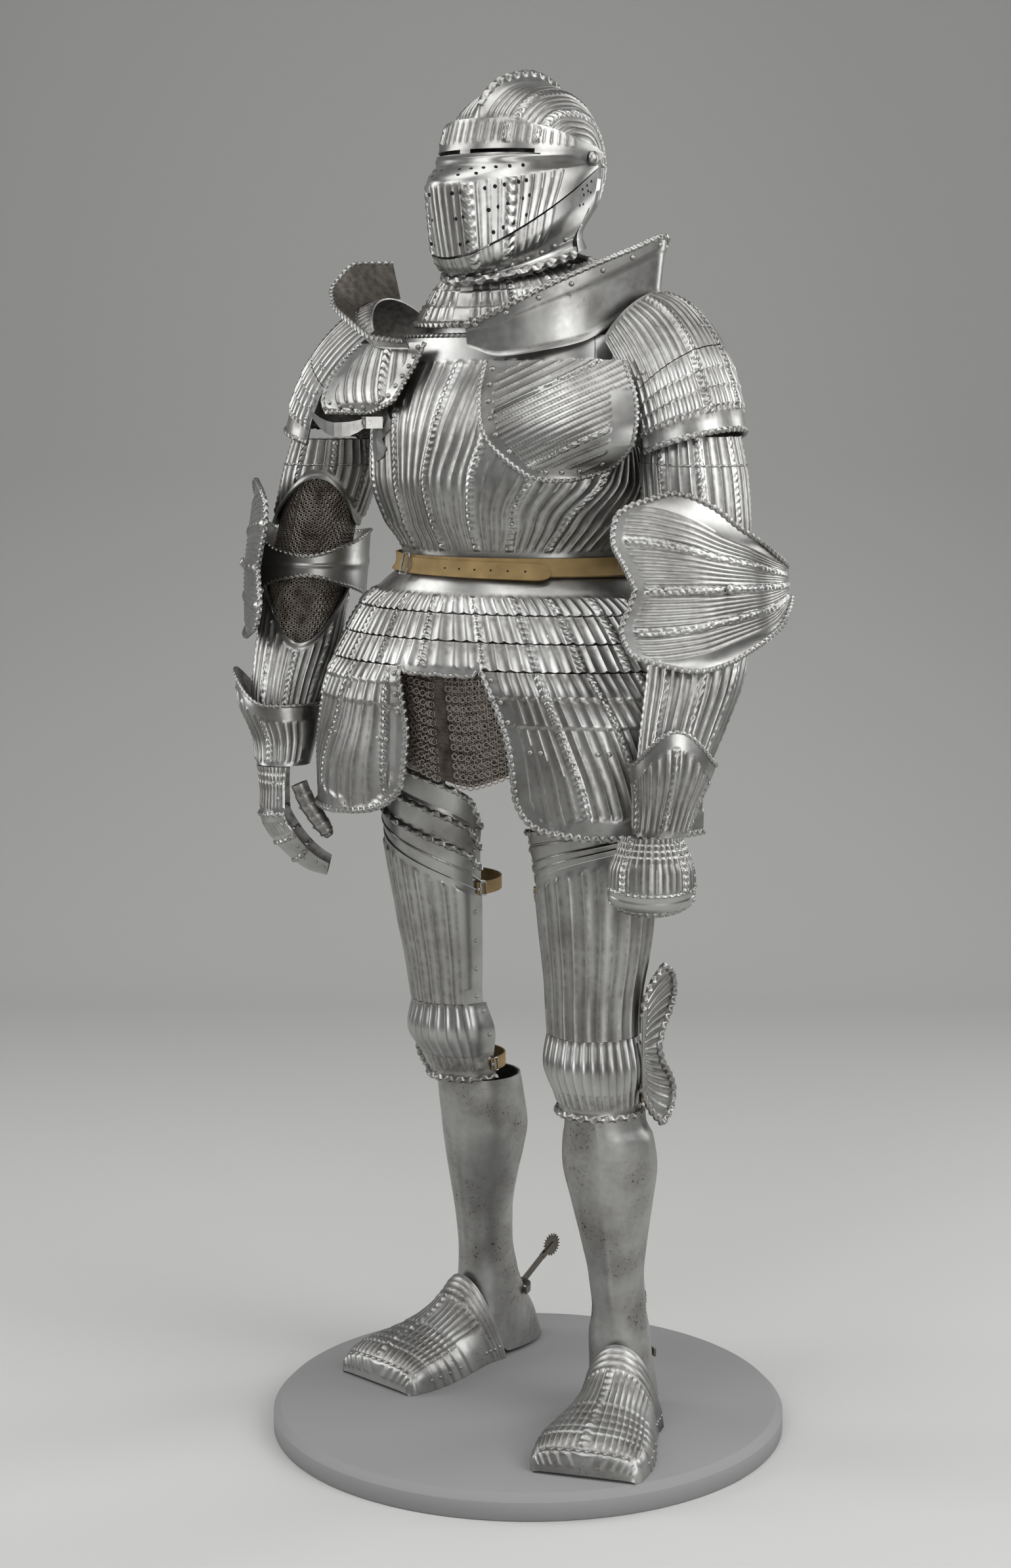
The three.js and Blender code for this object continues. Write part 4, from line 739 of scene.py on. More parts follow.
def build_trunk():
    """Breast, back and gussets: rings of TRUNK between the edges of BREAST_EDGE, fluted between guide lines
    that fan out upwards; the flutes fade out over the waist and under the neck.
    """
    shape = Shape()
    level = np.linspace(1176, 1476, 145)
    counts, ribs = [4, 4, 4, 5, 5, 4, 5, 4, 4], (1, 2, 3, 4, 5, 6, 7)
    lines = [column(BREAST_LINES, "z", name, level) for name in "abcdefghij"]
    edge = column(BREAST_EDGE, "z", "breast", level)
    angle = fitted(lines, counts, ribs, -edge, edge, 3.3)
    z = level[:, None] + 0 * angle
    points = ring_point(TRUNK, angle, z)
    height, _ = fluting(points, angle, [line[:, None] for line in lines], counts, ribs)
    field = smooth(z, 1203, 1208) * (1 - smooth(z, 1440, 1446))
    bar = 1.2 * smooth(z, 1440, 1443)
    outer, normals = ring_plate(shape, TRUNK, angle, z, relief=height * field + bar)
    rim, around = on_grid(outer, normals, [0.955, 0.955], [0.54, 0.555])
    holes(shape, rim, around, 2.0)
    edge, edge_normals = outer[-1], normals[-1]
    rope(shape, edge, edge_normals, 3.2, 9, depth=0.2)
    steel_piece(shape, "breastplate_fluted", "suit", ["breastplate"])

    shape = Shape()
    level = np.linspace(1176, 1500, 87)
    reach = 180 - column(BREAST_EDGE, "z", "back", level)
    spread = mix(1.0, 1.25, smooth(level, 1200, 1480)) * np.minimum(1, reach / 88)
    lines = [180 + a * spread for a in (-72, -50, -30, -10, 10, 30, 50, 72)]
    counts, ribs = [5] * 7, (1, 2, 3, 4, 5, 6)
    angle = fitted(lines, counts, ribs, 180 - reach, 180 + reach, 2.9)
    z = level[:, None] + 0 * angle
    points = ring_point(TRUNK, angle, z)
    height, _ = fluting(points, angle, [line[:, None] for line in lines], counts, ribs)
    field = smooth(z, 1203, 1208) * (1 - smooth(z, 1466, 1474))
    ring_plate(shape, TRUNK, angle, z, relief=height * field)
    steel_piece(shape, "backplate_fluted", "suit", ["backplate"])
    for name, side in (("left", 1), ("right", -1)):
        shape = Shape()
        u, z = grid(np.linspace(0, 1, 9), np.linspace(1350, 1476, 43))
        angle = side * (column(BREAST_EDGE, "z", "breast", z) + mix(0.5, 11, u))
        outer, normals = ring_plate(shape, TRUNK, angle, z)
        rope(shape, outer[:, -1], normals[:, -1], 3.4, 9)
        steel_piece(shape, f"gusset_{name}_roped", "suit", [f"gusset_{name}"])


# ---------- waist and skirt ----------
def skirt_lines(z, low=1060.0, high=1152.0):
    """Guide lines of the skirt: 14 degrees apart at the waist, spreading and drifting a little downwards."""
    t = (high - z) / (high - low)
    base = np.array([-91, -77, -63, -49, -35, -21.5, -7.5, 7.5, 21.5, 34.5, 49, 63, 77, 91])
    return [a * (1 + 0.09 * t) + 4 * np.clip(t, 0, 1) for a in base]


def build_belt():
    """A band 8.2 mm off the trunk; over it the tongue with a round end, sqrt(1 - x^2) of its width, and
    holes; a
    wire buckle.
    """
    shape = Shape()
    a, z = grid(np.arange(0, 360, 3.0), np.linspace(1175, 1197, 5))
    ring_plate(shape, TRUNK, a, z, lift=8.2, wall=3, closed=True, coarse=1)
    # the tongue runs back over the belt from the buckle
    a, z = grid(np.linspace(-30, 40, 70), np.linspace(-10, 10, 7))
    level = 1184.5 - 0.055 * (a + 30)
    half = np.where(a > 33, np.sqrt(np.clip(1 - ((a - 33) / 7.5) ** 2, 0.02, 1)), 1)
    outer, normals = ring_plate(shape, TRUNK, a, level + z * half, lift=11.6, wall=2.6, coarse=1)
    spots, around = on_grid(outer, normals, [0.5] * 6, np.linspace(0.36, 0.86, 6))
    holes(shape, spots, around, 1.5)
    shape.object("waist_belt_buff", [materials()["leather"], materials()["hole"]], "suit", "buff_leather",
            ["waist_belt"])
    shape = Shape()
    path = ring_point(TRUNK, np.array([-31.0, -31, -26, -26]), np.array([1172.0, 1199, 1199, 1172]))
    out = path - np.array([0, 0, 1185.0])
    out[:, 2] = 0
    out /= np.linalg.norm(out, axis=1, keepdims=True)
    rope(shape, path + 13.0 * out, out, 1.8, depth=0.0, pitch=12, closed=True)
    steel_piece(shape, "belt_buckle", "suit", [])


def build_skirt():
    """Fauld: rings of TRUNK, each lame rising 1.8 mm to an edge scalloped by 2.2 (2 f - 1)^2, f the place in
    a flute. Culet: rings stepped by lame_lift. Both are fluted between guide lines.
    """
    lames = ((1175, 1126.5), (1125.7, 1092.5), (1091.7, 1058.6))
    for i, (top, bottom) in enumerate(lames):
        shape = Shape()
        row = np.linspace(0, 1, 23)
        lines = skirt_lines(mix(top, bottom, row))
        a = fitted(lines, [4] * 13, range(1, 13), -84 + 0 * row, 84 + 0 * row, 3.4)
        v = row[:, None] + 0 * a
        lines = [line[:, None] for line in lines]
        low = bottom + 0 * a
        if i == 2:
            low = low - 9.6 * (1 - smooth(np.abs(a), 8.6, 10.4))
        phase = guide_phase(a, lines, 4)
        low = low + 2.2 * np.abs(2 * (phase - np.floor(phase)) - 1) ** 2
        z = mix(top, low, v)
        points = ring_point(TRUNK, a, z)
        height, _ = fluting(points, a, lines, [4] * 13, ribs=range(1, 13))
        if i == 0:
            height = height * (1 - smooth(z, 1146, 1150))
        lift = 1.8 * (smooth(v, 0.42, 1) if i == 0 else v)
        if i == 2:
            height = height * (1 - (1 - smooth(np.abs(a), 9, 12)) * smooth(v, 0.72, 0.78))
        outer, normals = ring_plate(shape, TRUNK, a, z, relief=height + lift)
        if i == 2:
            middle = np.abs(a[-1]) < 10
            rope(shape, outer[-1][middle], normals[-1][middle], 2.6, 8, depth=0.1)
        for end in (0.02, 0.98):
            spot, out = on_grid(outer, normals, [0.7], [end])
            rivets(shape, spot, out)
        steel_piece(shape, f"fauld_lame_{i + 1}_fluted", "suit", [f"fauld_lame_{i + 1}"])
    shape = Shape()
    row = np.linspace(0, 1, 57)
    lines = [180 + b * (1 + 0.12 * row) for b in np.arange(-84, 85, 14)]
    a = fitted(lines, [4] * 12, range(1, 12), 86 + 0 * row, 274 + 0 * row, 3.2)
    v = row[:, None] + 0 * a
    lines = [line[:, None] for line in lines]
    z = mix(1175, 1010, v)
    points = ring_point(TRUNK, a, z)
    height, phase = fluting(points, a, lines, [4] * 12, ribs=range(1, 12))
    lift = lame_lift(z, phase, (1175, 1115, 1062, 1010))
    ring_plate(shape, TRUNK, a, z, relief=height * (1 - smooth(z, 1146, 1150)) * smooth(z, 1010, 1018) + lift)
    steel_piece(shape, "culet_fluted", "suit", ["culet"])


def guide_phase(u, lines, count):
    """Flutes counted from the first guide line, `count` between each pair."""
    phase = 0 * u
    for k in range(len(lines) - 1):
        phase = phase + count * np.clip((u - lines[k]) / (lines[k + 1] - lines[k]), 0, 1)
    return phase


def lame_lift(z, phase, levels, rise=1.8, scallop=2.2):
    """Stepped plate: each lame rises to its lower edge, then drops; edges are scalloped with the flutes."""
    wave = scallop * np.abs(2 * (phase - np.floor(phase)) - 1) ** 2
    edges = [levels[0] + 0 * z] + [level + wave for level in levels[1:-1]] + [levels[-1] + 0 * z]
    lift = 0 * z
    for high, low in zip(edges[:-1], edges[1:]):
        lift = np.where((z <= high) & (z >= low), rise * (high - z) / (high - low), lift)
    return lift


def ring_chain(shape, points, normals, along, radius, wire, slot=0):
    """Mail rings of eight straight parts, three-sided wire, leaning one way in odd rows and back in even
    ones."""
    a = np.linspace(0, 2 * np.pi, 8, endpoint=False)
    b = np.array([0.5, 2.6, 4.7])
    r = radius + wire * np.cos(b)[None, :]
    x, y, h = (r * np.cos(a)[:, None]).ravel(), (r * np.sin(a)[:, None]).ravel(), np.tile(wire * np.sin(b), 8)
    index = np.arange(24).reshape(8, 3)
    faces = cells(np.concatenate([index, index[:1]]), True)
    across = np.cross(normals, along)
    block = (points[:, None] + x[None, :, None] * along[:, None] + y[None, :, None] * across[:, None]
             + h[None, :, None] * normals[:, None])
    every = (faces[None] + (np.arange(len(points)) * 24)[:, None, None]).reshape(-1, 3)
    shape.add(block, every, slot, 0.2)


def build_mail(sizes):
    """Skirt: its lower edge rises from 902 by 1.9 |a - 2|, 48 at most; it falls inside TRUNK by 9 to 34
    mm, in
    folds of 2.5 v sin(9 a). Its rings stand in rows, every other row half a step on. Elbows: rings of ELBOW.
    """
    m = materials()
    shape = Shape()
    a, v = grid(np.arange(0, 360, 3.0), np.linspace(0, 1, 19))
    fold = np.abs((a - 2 + 180) % 360 - 180)
    z = mix(1108, 902 + np.minimum(48, 1.9 * fold), v)
    points = ring_point(TRUNK, a, z)
    core = ring_core(TRUNK, z)
    out = (points - core) / np.linalg.norm(points - core, axis=2, keepdims=True)
    ripple = 2.5 * np.sin(np.radians(a * 9)) * v
    points = points + out * (mix(-9, -34, v) + ripple)[..., None]
    su, _ = lengths(points)
    outer, normals = plate(shape, points, core, wall=2.4, closed=True, coarse=1, uv=np.stack([su, z], -1))
    cloth = shape.object("mail_skirt_web", [m["mail"]], "suit", "mail", ["mail_skirt"])
    rings = Shape()
    for low, high, top, bottom in ((-26, 34, 0.22, 1.0), (92, 268, 0.72, 1.0)):
        size = sizes.coarse_ring * 1000
        columns = int(math.radians(high - low) * 185 / (size * 0.86))
        rows = int(190 * (bottom - top) / (size * 0.6))
        uu, vv = grid(np.linspace(low, high, columns), np.linspace(top, bottom, rows))
        uu = uu + np.where(np.arange(rows) % 2, 0.5, 0)[:, None] * (high - low) / columns
        col = (uu % 360) / 360 * outer.shape[1] / (outer.shape[1] - 1)
        spots, facing = on_grid(outer, normals, vv, np.clip(col, 0, 1))
        facing /= np.linalg.norm(facing, axis=1, keepdims=True)
        along = np.cross(np.array([0, 0, 1.0]), facing)
        along /= np.linalg.norm(along, axis=1, keepdims=True)
        lean = np.where(np.arange(rows) % 2, 0.5, -0.5)[:, None].repeat(columns, 1).ravel()[:, None]
        tilted = facing + lean * along
        tilted /= np.linalg.norm(tilted, axis=1, keepdims=True)
        along = np.cross(np.cross(tilted, along), tilted)
        along /= np.linalg.norm(along, axis=1, keepdims=True)
        ring_chain(rings, spots + 1.2 * facing, tilted, along, size * 0.42, size * 0.1)
    chain = rings.object("mail_skirt_rings", [m["ring"]], "suit", "mail")
    for name in ("left", "right"):
        shape = Shape()
        form = ELBOW[name]
        a, z = grid(np.arange(0, 360, 5.0), np.linspace(form["z"][0], form["z"][-1], 25))
        points = ring_point(form, a, z)
        su, _ = lengths(points)
        core = ring_core(form, z)
        plate(shape, points, core, wall=2.4, closed=True, coarse=1, uv=np.stack([su, z], -1))
        made = shape.object(f"mail_elbow_{name}_web", [m["mail"]], "suit", "mail", [f"mail_elbow_{name}"])
        float(np.ptp(form["z"])) * MM


TASSET_EDGE = {
    "left": table("z inner", (853, 36), (860, 24), (880, 18), (906, 16), (966, 15.5), (1016, 13.5),
            (1058, 11)),
    "right": table("z inner", (858, 34), (866, 18), (884, 10), (906, 7), (966, 6), (1016, 7.8), (1058, 11)),
}
TASSET = {
    "left": {"side": 1, "lames": (1057.6, 1025, 990, 853),
            "lines": table("z a b c d", (850, 18, 39.5, 60, 77), (900, 16, 36.5, 57, 75),
            (990, 15, 30.5, 50, 68), (1060, 13, 27, 43, 60))},
    "right": {"side": -1, "lames": (1057.6, 1034, 1006, 858),
            "lines": table("z a b c d", (850, 11, 47, 67, 80), (912, 12, 44, 64, 78),
            (983, 12.5, 35, 55, 72), (1058, 14, 31, 48, 66))},
}


def build_tassets():
    """Hip plates: rings of TRUNK; two lames over a fluted field, which fades into a plain border with a
    roped edge.
    """
    for name, facts in TASSET.items():
        shape = Shape()
        side, lames = facts["side"], facts["lames"]
        level = np.linspace(lames[-1], lames[0], 91)
        lines = [column(facts["lines"], "z", n, level) for n in "abcd"]
        lines = [lines[0] - 20] + lines + [lines[-1] + 20]
        angle = fitted(lines, [5] * 5, (1, 2, 3, 4), column(TASSET_EDGE[name], "z", "inner", level),
                84.5 + 0 * level, 4.6)
        z = level[:, None] + 0 * angle
        points = ring_point(TRUNK, side * angle, z)
        lines = [line[:, None] for line in lines]
        height, phase = fluting(points, angle, lines, [5] * 5, ribs=(1, 2, 3, 4))
        su, sv = lengths(points)
        border = np.minimum(smooth(su, 18, 22), smooth(sv, 26, 30))
        lift = np.where(z < lames[2], 0, lame_lift(z, phase, lames))
        rolled = 1.6 * (1 - border) * (z < lames[2])
        outer, normals = ring_plate(shape, TRUNK, side * angle, z, relief=height * border + lift + rolled)
        rope(shape, np.concatenate([outer[::-1, 0], outer[0, 1:]])[::2],
                np.concatenate([normals[::-1, 0], normals[0, 1:]])[::2], 5.2, 11, depth=0.5)
        cols = np.array([0.03, 0.03, 0.03])
        spots, out = on_grid(outer, normals, [0.95, 0.82, 0.7], cols)
        rivets(shape, spots, out)
        spots, out = on_grid(outer, normals, [0.52, 0.52, 0.52, 0.52, 0.9, 0.75],
                [0.1, 0.15, 0.42, 0.47, 0.95, 0.95])
        rivets(shape, spots, out)
        steel_piece(shape, f"tasset_{name}_fluted", "suit", [f"tasset_{name}"])


# ---------- neck ----------
GORGET = table(
    "v z rise side front back",
    (0, 1490, 12, 154, 137, 120), (1, 1507, 18, 140, 133, 106), (2, 1524, 28, 124, 129, 88),
    (3, 1540, 32, 108, 126, 72), (4, 1551, 33, 82, 119, 60),
)


def build_gorget():
    """Neck lames: x = side sin a, y = -depth cos a, level z + rise (1 - cos a) / 2; below them a plain
    ellipse."""
    shape = Shape()
    ring = fitted([25.0 * k for k in range(15)], [4] * 14, range(1, 14), 0.0, 359.0, 2.2, 4.5)
    a, v = grid(ring, np.linspace(0, 4, 39))
    row = row_at(GORGET, "v", v)
    cosine = np.cos(np.radians(a))
    depth = np.where(cosine > 0, row["front"], row["back"])
    points = np.stack([row["side"] * np.sin(np.radians(a)), -depth * cosine,
            row["z"] + row["rise"] * (1 - cosine) / 2], -1)
    core = np.stack([0 * v, 0 * v - 20, row["z"]], -1)
    height, phase = fluting(points, a, [25.0 * k for k in range(15)], [4] * 14, ribs=range(1, 14), width=4.5)
    step = lame_lift(4 - v, phase, (4, 2.7, 1.5, 0), 1.6, 0.12)
    outer, normals = plate(shape, points, core, relief=height * 0.9 * smooth(v, 0.25, 0.4) + step,
            closed=True)
    rope(shape, outer[0], normals[0], 5.0, 12, closed=True, strands=2)
    steel_piece(shape, "gorget_fluted", "suit", ["gorget"])
    shape = Shape()
    a, z = grid(np.arange(0, 360, 4.0), np.linspace(1452, 1492, 5))
    front = np.where(np.cos(np.radians(a)) > 0, 115, 106)
    points = np.stack([145 * np.sin(np.radians(a)), -front * np.cos(np.radians(a)), z], -1)
    plate(shape, points, np.stack([0 * z, 0 * z, z], -1), closed=True, coarse=1)
    steel_piece(shape, "gorget_yoke_plain", "suit", ["gorget_yoke"])


# ---------- helmet ----------
TURN = math.radians(-6)
HELMET = local_frame((8, -7, 1698), (math.sin(TURN), -math.cos(TURN), 0), (0, 0, 1),
        (math.cos(TURN), math.sin(TURN), 0))
SKULL = arches(
    (110, 42, 0, 4, 91, 84, 0.92, 0.92), (97, 62, 0, 2, 91, 85, 0.92, 0.92), (56, 89, 0, 0, 91, 86, 0.95,
            0.95),
    (0, 100, 0, 0, 91, 88), (-52, 86, 0, 0, 91, 88), (-84, 48, 0, 0, 91, 87), (-96, -2, -6, -10, 90, 84),
    (-82, -52, -8, -46, 86, 82), (-60, -86, 8, -94, 74, 80), (-68, -103, 16, -118, 80, 80),
)
COMB = table("v height", (0, 0), (0.8, 5), (2, 12), (3, 13), (4, 12), (5, 10), (6, 5), (7, 0), (9, 0))
VISOR = arches(
    (121, 47, 0, 18, 98, 98, 0.86, 0.9), (133, 9, 0, 8, 100, 98, 0.86, 0.9), (134, 2, 0, 4, 100, 98, 0.86,
            0.9),
    (145, -3, 0, 1, 100, 98, 0.95, 0.93), (151, -12, 0, -1, 100, 98, 1.1, 0.97), (184, -38, 0, -7, 99, 98,
            1.58),
    (177, -82, 0, -12, 99, 98, 1.4), (167, -126, 0, -19, 98, 98, 1.1),
)
BEVOR = arches(
    (165, -128.8, -2, -22, 95, 98, 1.1), (158, -139, 0, -44, 95, 96, 1.05), (146, -146, 8, -76, 88, 93),
    (131, -150, 16, -104, 78, 92), (137, -155, 20, -121, 84, 92),
)


def arch_grid(form, place, us, vs, tweak=None):
    """Grid of an arch form in model space and its middle line; `tweak` may move (p, q)."""
    u, v = grid(us, vs)
    p, q, side = arch_point(form, u, v)
    if tweak is not None:
        p, q = tweak(u, v, p, q)
    row = row_at(form, "v", v)
    return u, v, place(p, q, side), place(row["cp"], row["cq"], row["shift"])


def build_helmet():
    """Skull: an arch with a comb, COMB exp(-(u / 0.05)^2) high. Visor: fluted prow and brow, the sights left
    open, a ledge 2.2 exp(-((v - 2.25) / 0.12)^2). Bevor: an arch with a neck rope. Bosses: turned.
    """
    shape = Shape()

    def comb(u, v, p, q):
        rise = column(COMB, "v", "height", v) * np.exp(-(u / 0.05) ** 2)
        k = 1 + rise / np.hypot(p, q)
        return p * k, q * k

    half = fitted([0.1, 0.36, 0.62, 0.84], [5, 5, 4], (1, 2), 0.0, 1.0, 140)
    half = np.concatenate([half, np.linspace(0, 0.09, 8)])
    us = MERGE * np.unique(np.round(np.concatenate([-half, half]) / MERGE))
    u, v, points, core = arch_grid(SKULL, HELMET, us, np.linspace(0, 9, 103), comb)
    m = np.abs(u)
    height, _ = fluting(points, m, [0.1, 0.36, 0.62, 0.84], [5, 5, 4], ribs=(1, 2), pitch=9)
    height = height * smooth(v, 0.45, 0.7) * (1 - smooth(v, 6.6, 7.4))
    outer, normals = plate(shape, points, core, relief=height)
    rows = (v[:, 0] > 0.9) & (v[:, 0] < 6.6)
    crest = outer[rows, len(us) // 2]
    rope(shape, crest - 2.0 * normals[rows, len(us) // 2], normals[rows, len(us) // 2], 6.5, 17, depth=0.28)
    spots, out = on_grid(outer, normals, [0.62, 0.62, 0.66, 0.66, 0.7], [0.12, 0.88, 0.1, 0.9, 0.12])
    rivets(shape, spots, out)
    steel_piece(shape, "helmet_skull_fluted", "suit", ["helmet_skull"])

    shape = Shape()
    lines = [0.02, 0.2, 0.42, 0.66]
    half = np.concatenate([fitted(lines, [4, 4, 5], (1, 2), 0.0, 1.0, 150, 7.5),
                           fitted([0.0, 0.3, 0.52, 0.78], [6, 4, 5], (1, 2), 0.0, 1.0, 150, 4.5)])
    us = MERGE * np.unique(np.round(np.concatenate([-half, half]) / MERGE))
    u, v, points, core = arch_grid(VISOR, HELMET, us, np.linspace(0, 7, 92))
    m = np.abs(u)
    prow, _ = fluting(points, m, lines, [4, 4, 5], ribs=(1, 2), depth=1.3, width=7.5, pitch=13)
    brow, _ = fluting(points, m, [0.0, 0.3, 0.52, 0.78], [6, 4, 5], ribs=(1, 2), depth=1.0, width=4.5)
    height = prow * smooth(v, 5.0, 5.12) + brow * smooth(v, 0.06, 0.12) * (1 - smooth(v, 0.62, 0.72))
    height = height + 2.2 * np.exp(-((v - 2.25) / 0.12) ** 2) * (m < 0.56)
    keep = ~((v[:-1, :-1] >= 1.02) & (v[:-1, :-1] < 1.98) & (m[:-1, :-1] > 0.03) & (m[:-1, :-1] < 0.515))
    outer, normals = plate(shape, points, core, relief=height, keep=keep)
    ledge_c = 0.5 + 0.5 * np.array([0.07, 0.14, 0.21, 0.28, 0.36, 0.44, 0.1, 0.2])
    ledge_r = np.array([4.35] * 6 + [4.65] * 2) / 7
    spots, out = on_grid(outer, normals, np.r_[ledge_r, ledge_r], np.r_[ledge_c, 1 - ledge_c])
    holes(shape, spots, out, 2.6)
    across = np.array([0.088, 0.133, 0.272, 0.328, 0.383, 0.472, 0.52])
    c, r = np.meshgrid(across, np.array([5.32, 6.0, 6.72]) / 7)
    c, r = c.ravel()[:-1], r.ravel()[:-1]
    spots, out = on_grid(outer, normals, np.r_[r, r], np.r_[0.5 + 0.5 * c, 0.5 - 0.5 * c])
    holes(shape, spots, out, 2.8)
    steel_piece(shape, "helmet_visor_fluted", "visor", ["helmet_visor"])

    shape = Shape()
    u, v, points, core = arch_grid(BEVOR, HELMET, us[::2], np.linspace(0, 4, 41))
    m = np.abs(u)
    height, _ = fluting(points, m, lines, [4, 4, 5], ribs=(1, 2), depth=1.2, width=6.5, pitch=10)
    height = height * (1 - smooth(v, 1.6, 2.1))
    outer, normals = plate(shape, points, core, relief=height)
    rope(shape, outer[-1], normals[-1], 6.4, 20, depth=0.45, strands=2)
    c = np.linspace(0.06, 0.94, 15)
    spots, out = on_grid(outer, normals, 0 * c + 0.66, c)
    rivets(shape, spots, out)
    for side in (1, -1):
        c = 0.5 + side * 0.5 * np.array([0.86, 0.9, 0.94, 0.88, 0.92, 0.86, 0.95, 0.9])
        r = np.array([0.1, 0.1, 0.1, 0.2, 0.2, 0.3, 0.25, 0.32])
        spots, out = on_grid(outer, normals, r, c)
        holes(shape, spots, out, 1.8)
    steel_piece(shape, "helmet_bevor_fluted", "bevor", ["helmet_bevor"])
    for name, side in (("left", 1), ("right", -1)):
        shape = Shape()
        profile = [
            (AXIS, 86), (8, 86), (8, 87.6), (4, 87.6), (4, 101.2), (9.5, 101.2), (9.5, 102.6), (7.5, 105),
            (4, 107), (AXIS, 107.6),
        ]
        lathe(shape, profile, 24, lambda x, y, h: HELMET(x, y * side, h * side))
        steel_piece(shape, f"helmet_boss_{name}", "bevor", [f"helmet_pivot_{name}"])


# ---------- shoulders ----------
PAULDRON = arches(
    (206, 1530, 168, 1468, 76, 86, 1, 1, 14), (240, 1518, 200, 1447, 82, 94, 1, 1, 18),
    (272, 1493, 222, 1430, 84, 100, 1, 1, 24), (297, 1462, 240, 1410, 84, 104, 1, 1, 31),
    (315, 1428, 254, 1388, 82, 108, 1, 1, 37), (328, 1396, 264, 1366, 79, 110, 1, 1, 42),
    (336, 1360, 272, 1340, 76, 112, 1, 1, 46),
)
PAULDRON_FRONT = {"left": 1.0, "right": 0.86}
PAULDRON_OUT = {"left": 0, "right": 9}
WING = {
    "left": table("z inner outer flare", (1296, 36, 44, 0), (1300, 30, 49, 0), (1310, 25.5, 57, 8),
            (1322, 21, 59, 30),
                  (1344, 14.7, 60, 52), (1370, 11.3, 60, 56), (1400, 9.2, 59, 54), (1425, 8.2, 57,
                          48), (1444, 8, 56, 42)),
    "right": table("z inner outer flare", (1379, 36, 50, 46), (1384, 30, 56, 50), (1396, 21.5, 57, 55),
                   (1420, 19, 57, 55), (1448, 17, 57, 46), (1468, 16, 55, 32)),
}
WING_LIFT, WING_CURVE = 17.0, 1.6
HAUTE = {
    "left": table("v x y z topX topY topZ", (0, 15, -164, 1462, 14, -166, 1487),
            (1, 60, -157, 1449, 61, -160, 1506),
                  (2, 110, -130, 1457, 112, -134, 1534), (3, 146, -98, 1468, 152, -102, 1557),
                  (4, 180, -46, 1503, 188, -50, 1582), (5, 198, -6, 1526, 207, -8, 1598),
                  (6, 176, 34, 1532, 184, 36, 1594), (7, 150, 66, 1530, 156, 70, 1576)),
    "right": table("v x y z topX topY topZ", (0, -84, -152, 1460, -86, -158, 1470),
            (1, -140, -134, 1462, -146, -146, 1476),
                   (2, -188, -114, 1481, -200, -124, 1498), (3, -222, -84, 1502, -252, -92, 1524),
                   (4, -238, -48, 1519, -274, -56, 1550), (5, -238, -10, 1527, -270, -14, 1576),
                   (6, -228, 26, 1530, -246, 34, 1578)),
}


def build_shoulders():
    """Pauldrons: arches over the shoulder, fluted; from v = 3.02 on they are stepped by lame_lift."""
    for name, side in (("left", 1), ("right", -1)):
        place = local_frame((side * PAULDRON_OUT[name], 0, 0), (side, 0, 0), (0, 0, 1), (0, -1, 0))
        guide = [-1.0, -0.78, -0.42, -0.06, 0.3, 0.62, 1.0]
        us = fitted(guide, [4, 6, 6, 6, 5, 6], (1, 2, 3, 4), -1.0, PAULDRON_FRONT[name], 140)
        shape = Shape()
        u, v, points, core = arch_grid(PAULDRON, place, us, np.linspace(0, 2.98, 47))
        height, _ = fluting(points, u, guide, [4, 6, 6, 6, 5, 6], ribs=(1, 2, 3, 4))
        outer, normals = plate(shape, points, core, relief=height * smooth(v, 0.1, 0.2))
        spots, out = on_grid(outer, normals, [0.85, 0.85, 0.75, 0.75], [0.93, 0.9, 0.5, 0.53])
        rivets(shape, spots, out)
        steel_piece(shape, f"pauldron_{name}_fluted", "suit", [f"pauldron_{name}"])
        shape = Shape()
        u, v, points, core = arch_grid(PAULDRON, place, us, np.linspace(3.02, 6, 65))
        height, phase = fluting(points, u, guide, [4, 6, 6, 6, 5, 6], ribs=(1, 2, 3, 4))
        lift = lame_lift(9.02 - v, phase, (6.0, 5.27, 4.57, 3.87, 3.02), 1.8, 0.05)
        outer, normals = plate(shape, points, core, relief=height * (1 - smooth(v, 5.3, 5.36)) + lift)
        rope(shape, outer[-1], normals[-1], 4.6, 10)
        spots, out = on_grid(outer, normals, [0.15, 0.4, 0.62, 0.15, 0.4, 0.62], [0.97] * 3 + [0.03] * 3)
        rivets(shape, spots, out)
        steel_piece(shape, f"pauldron_{name}_lames_fluted", "suit", [f"pauldron_{name}_lames"])
        build_wing(name, side)
        build_haute(name)


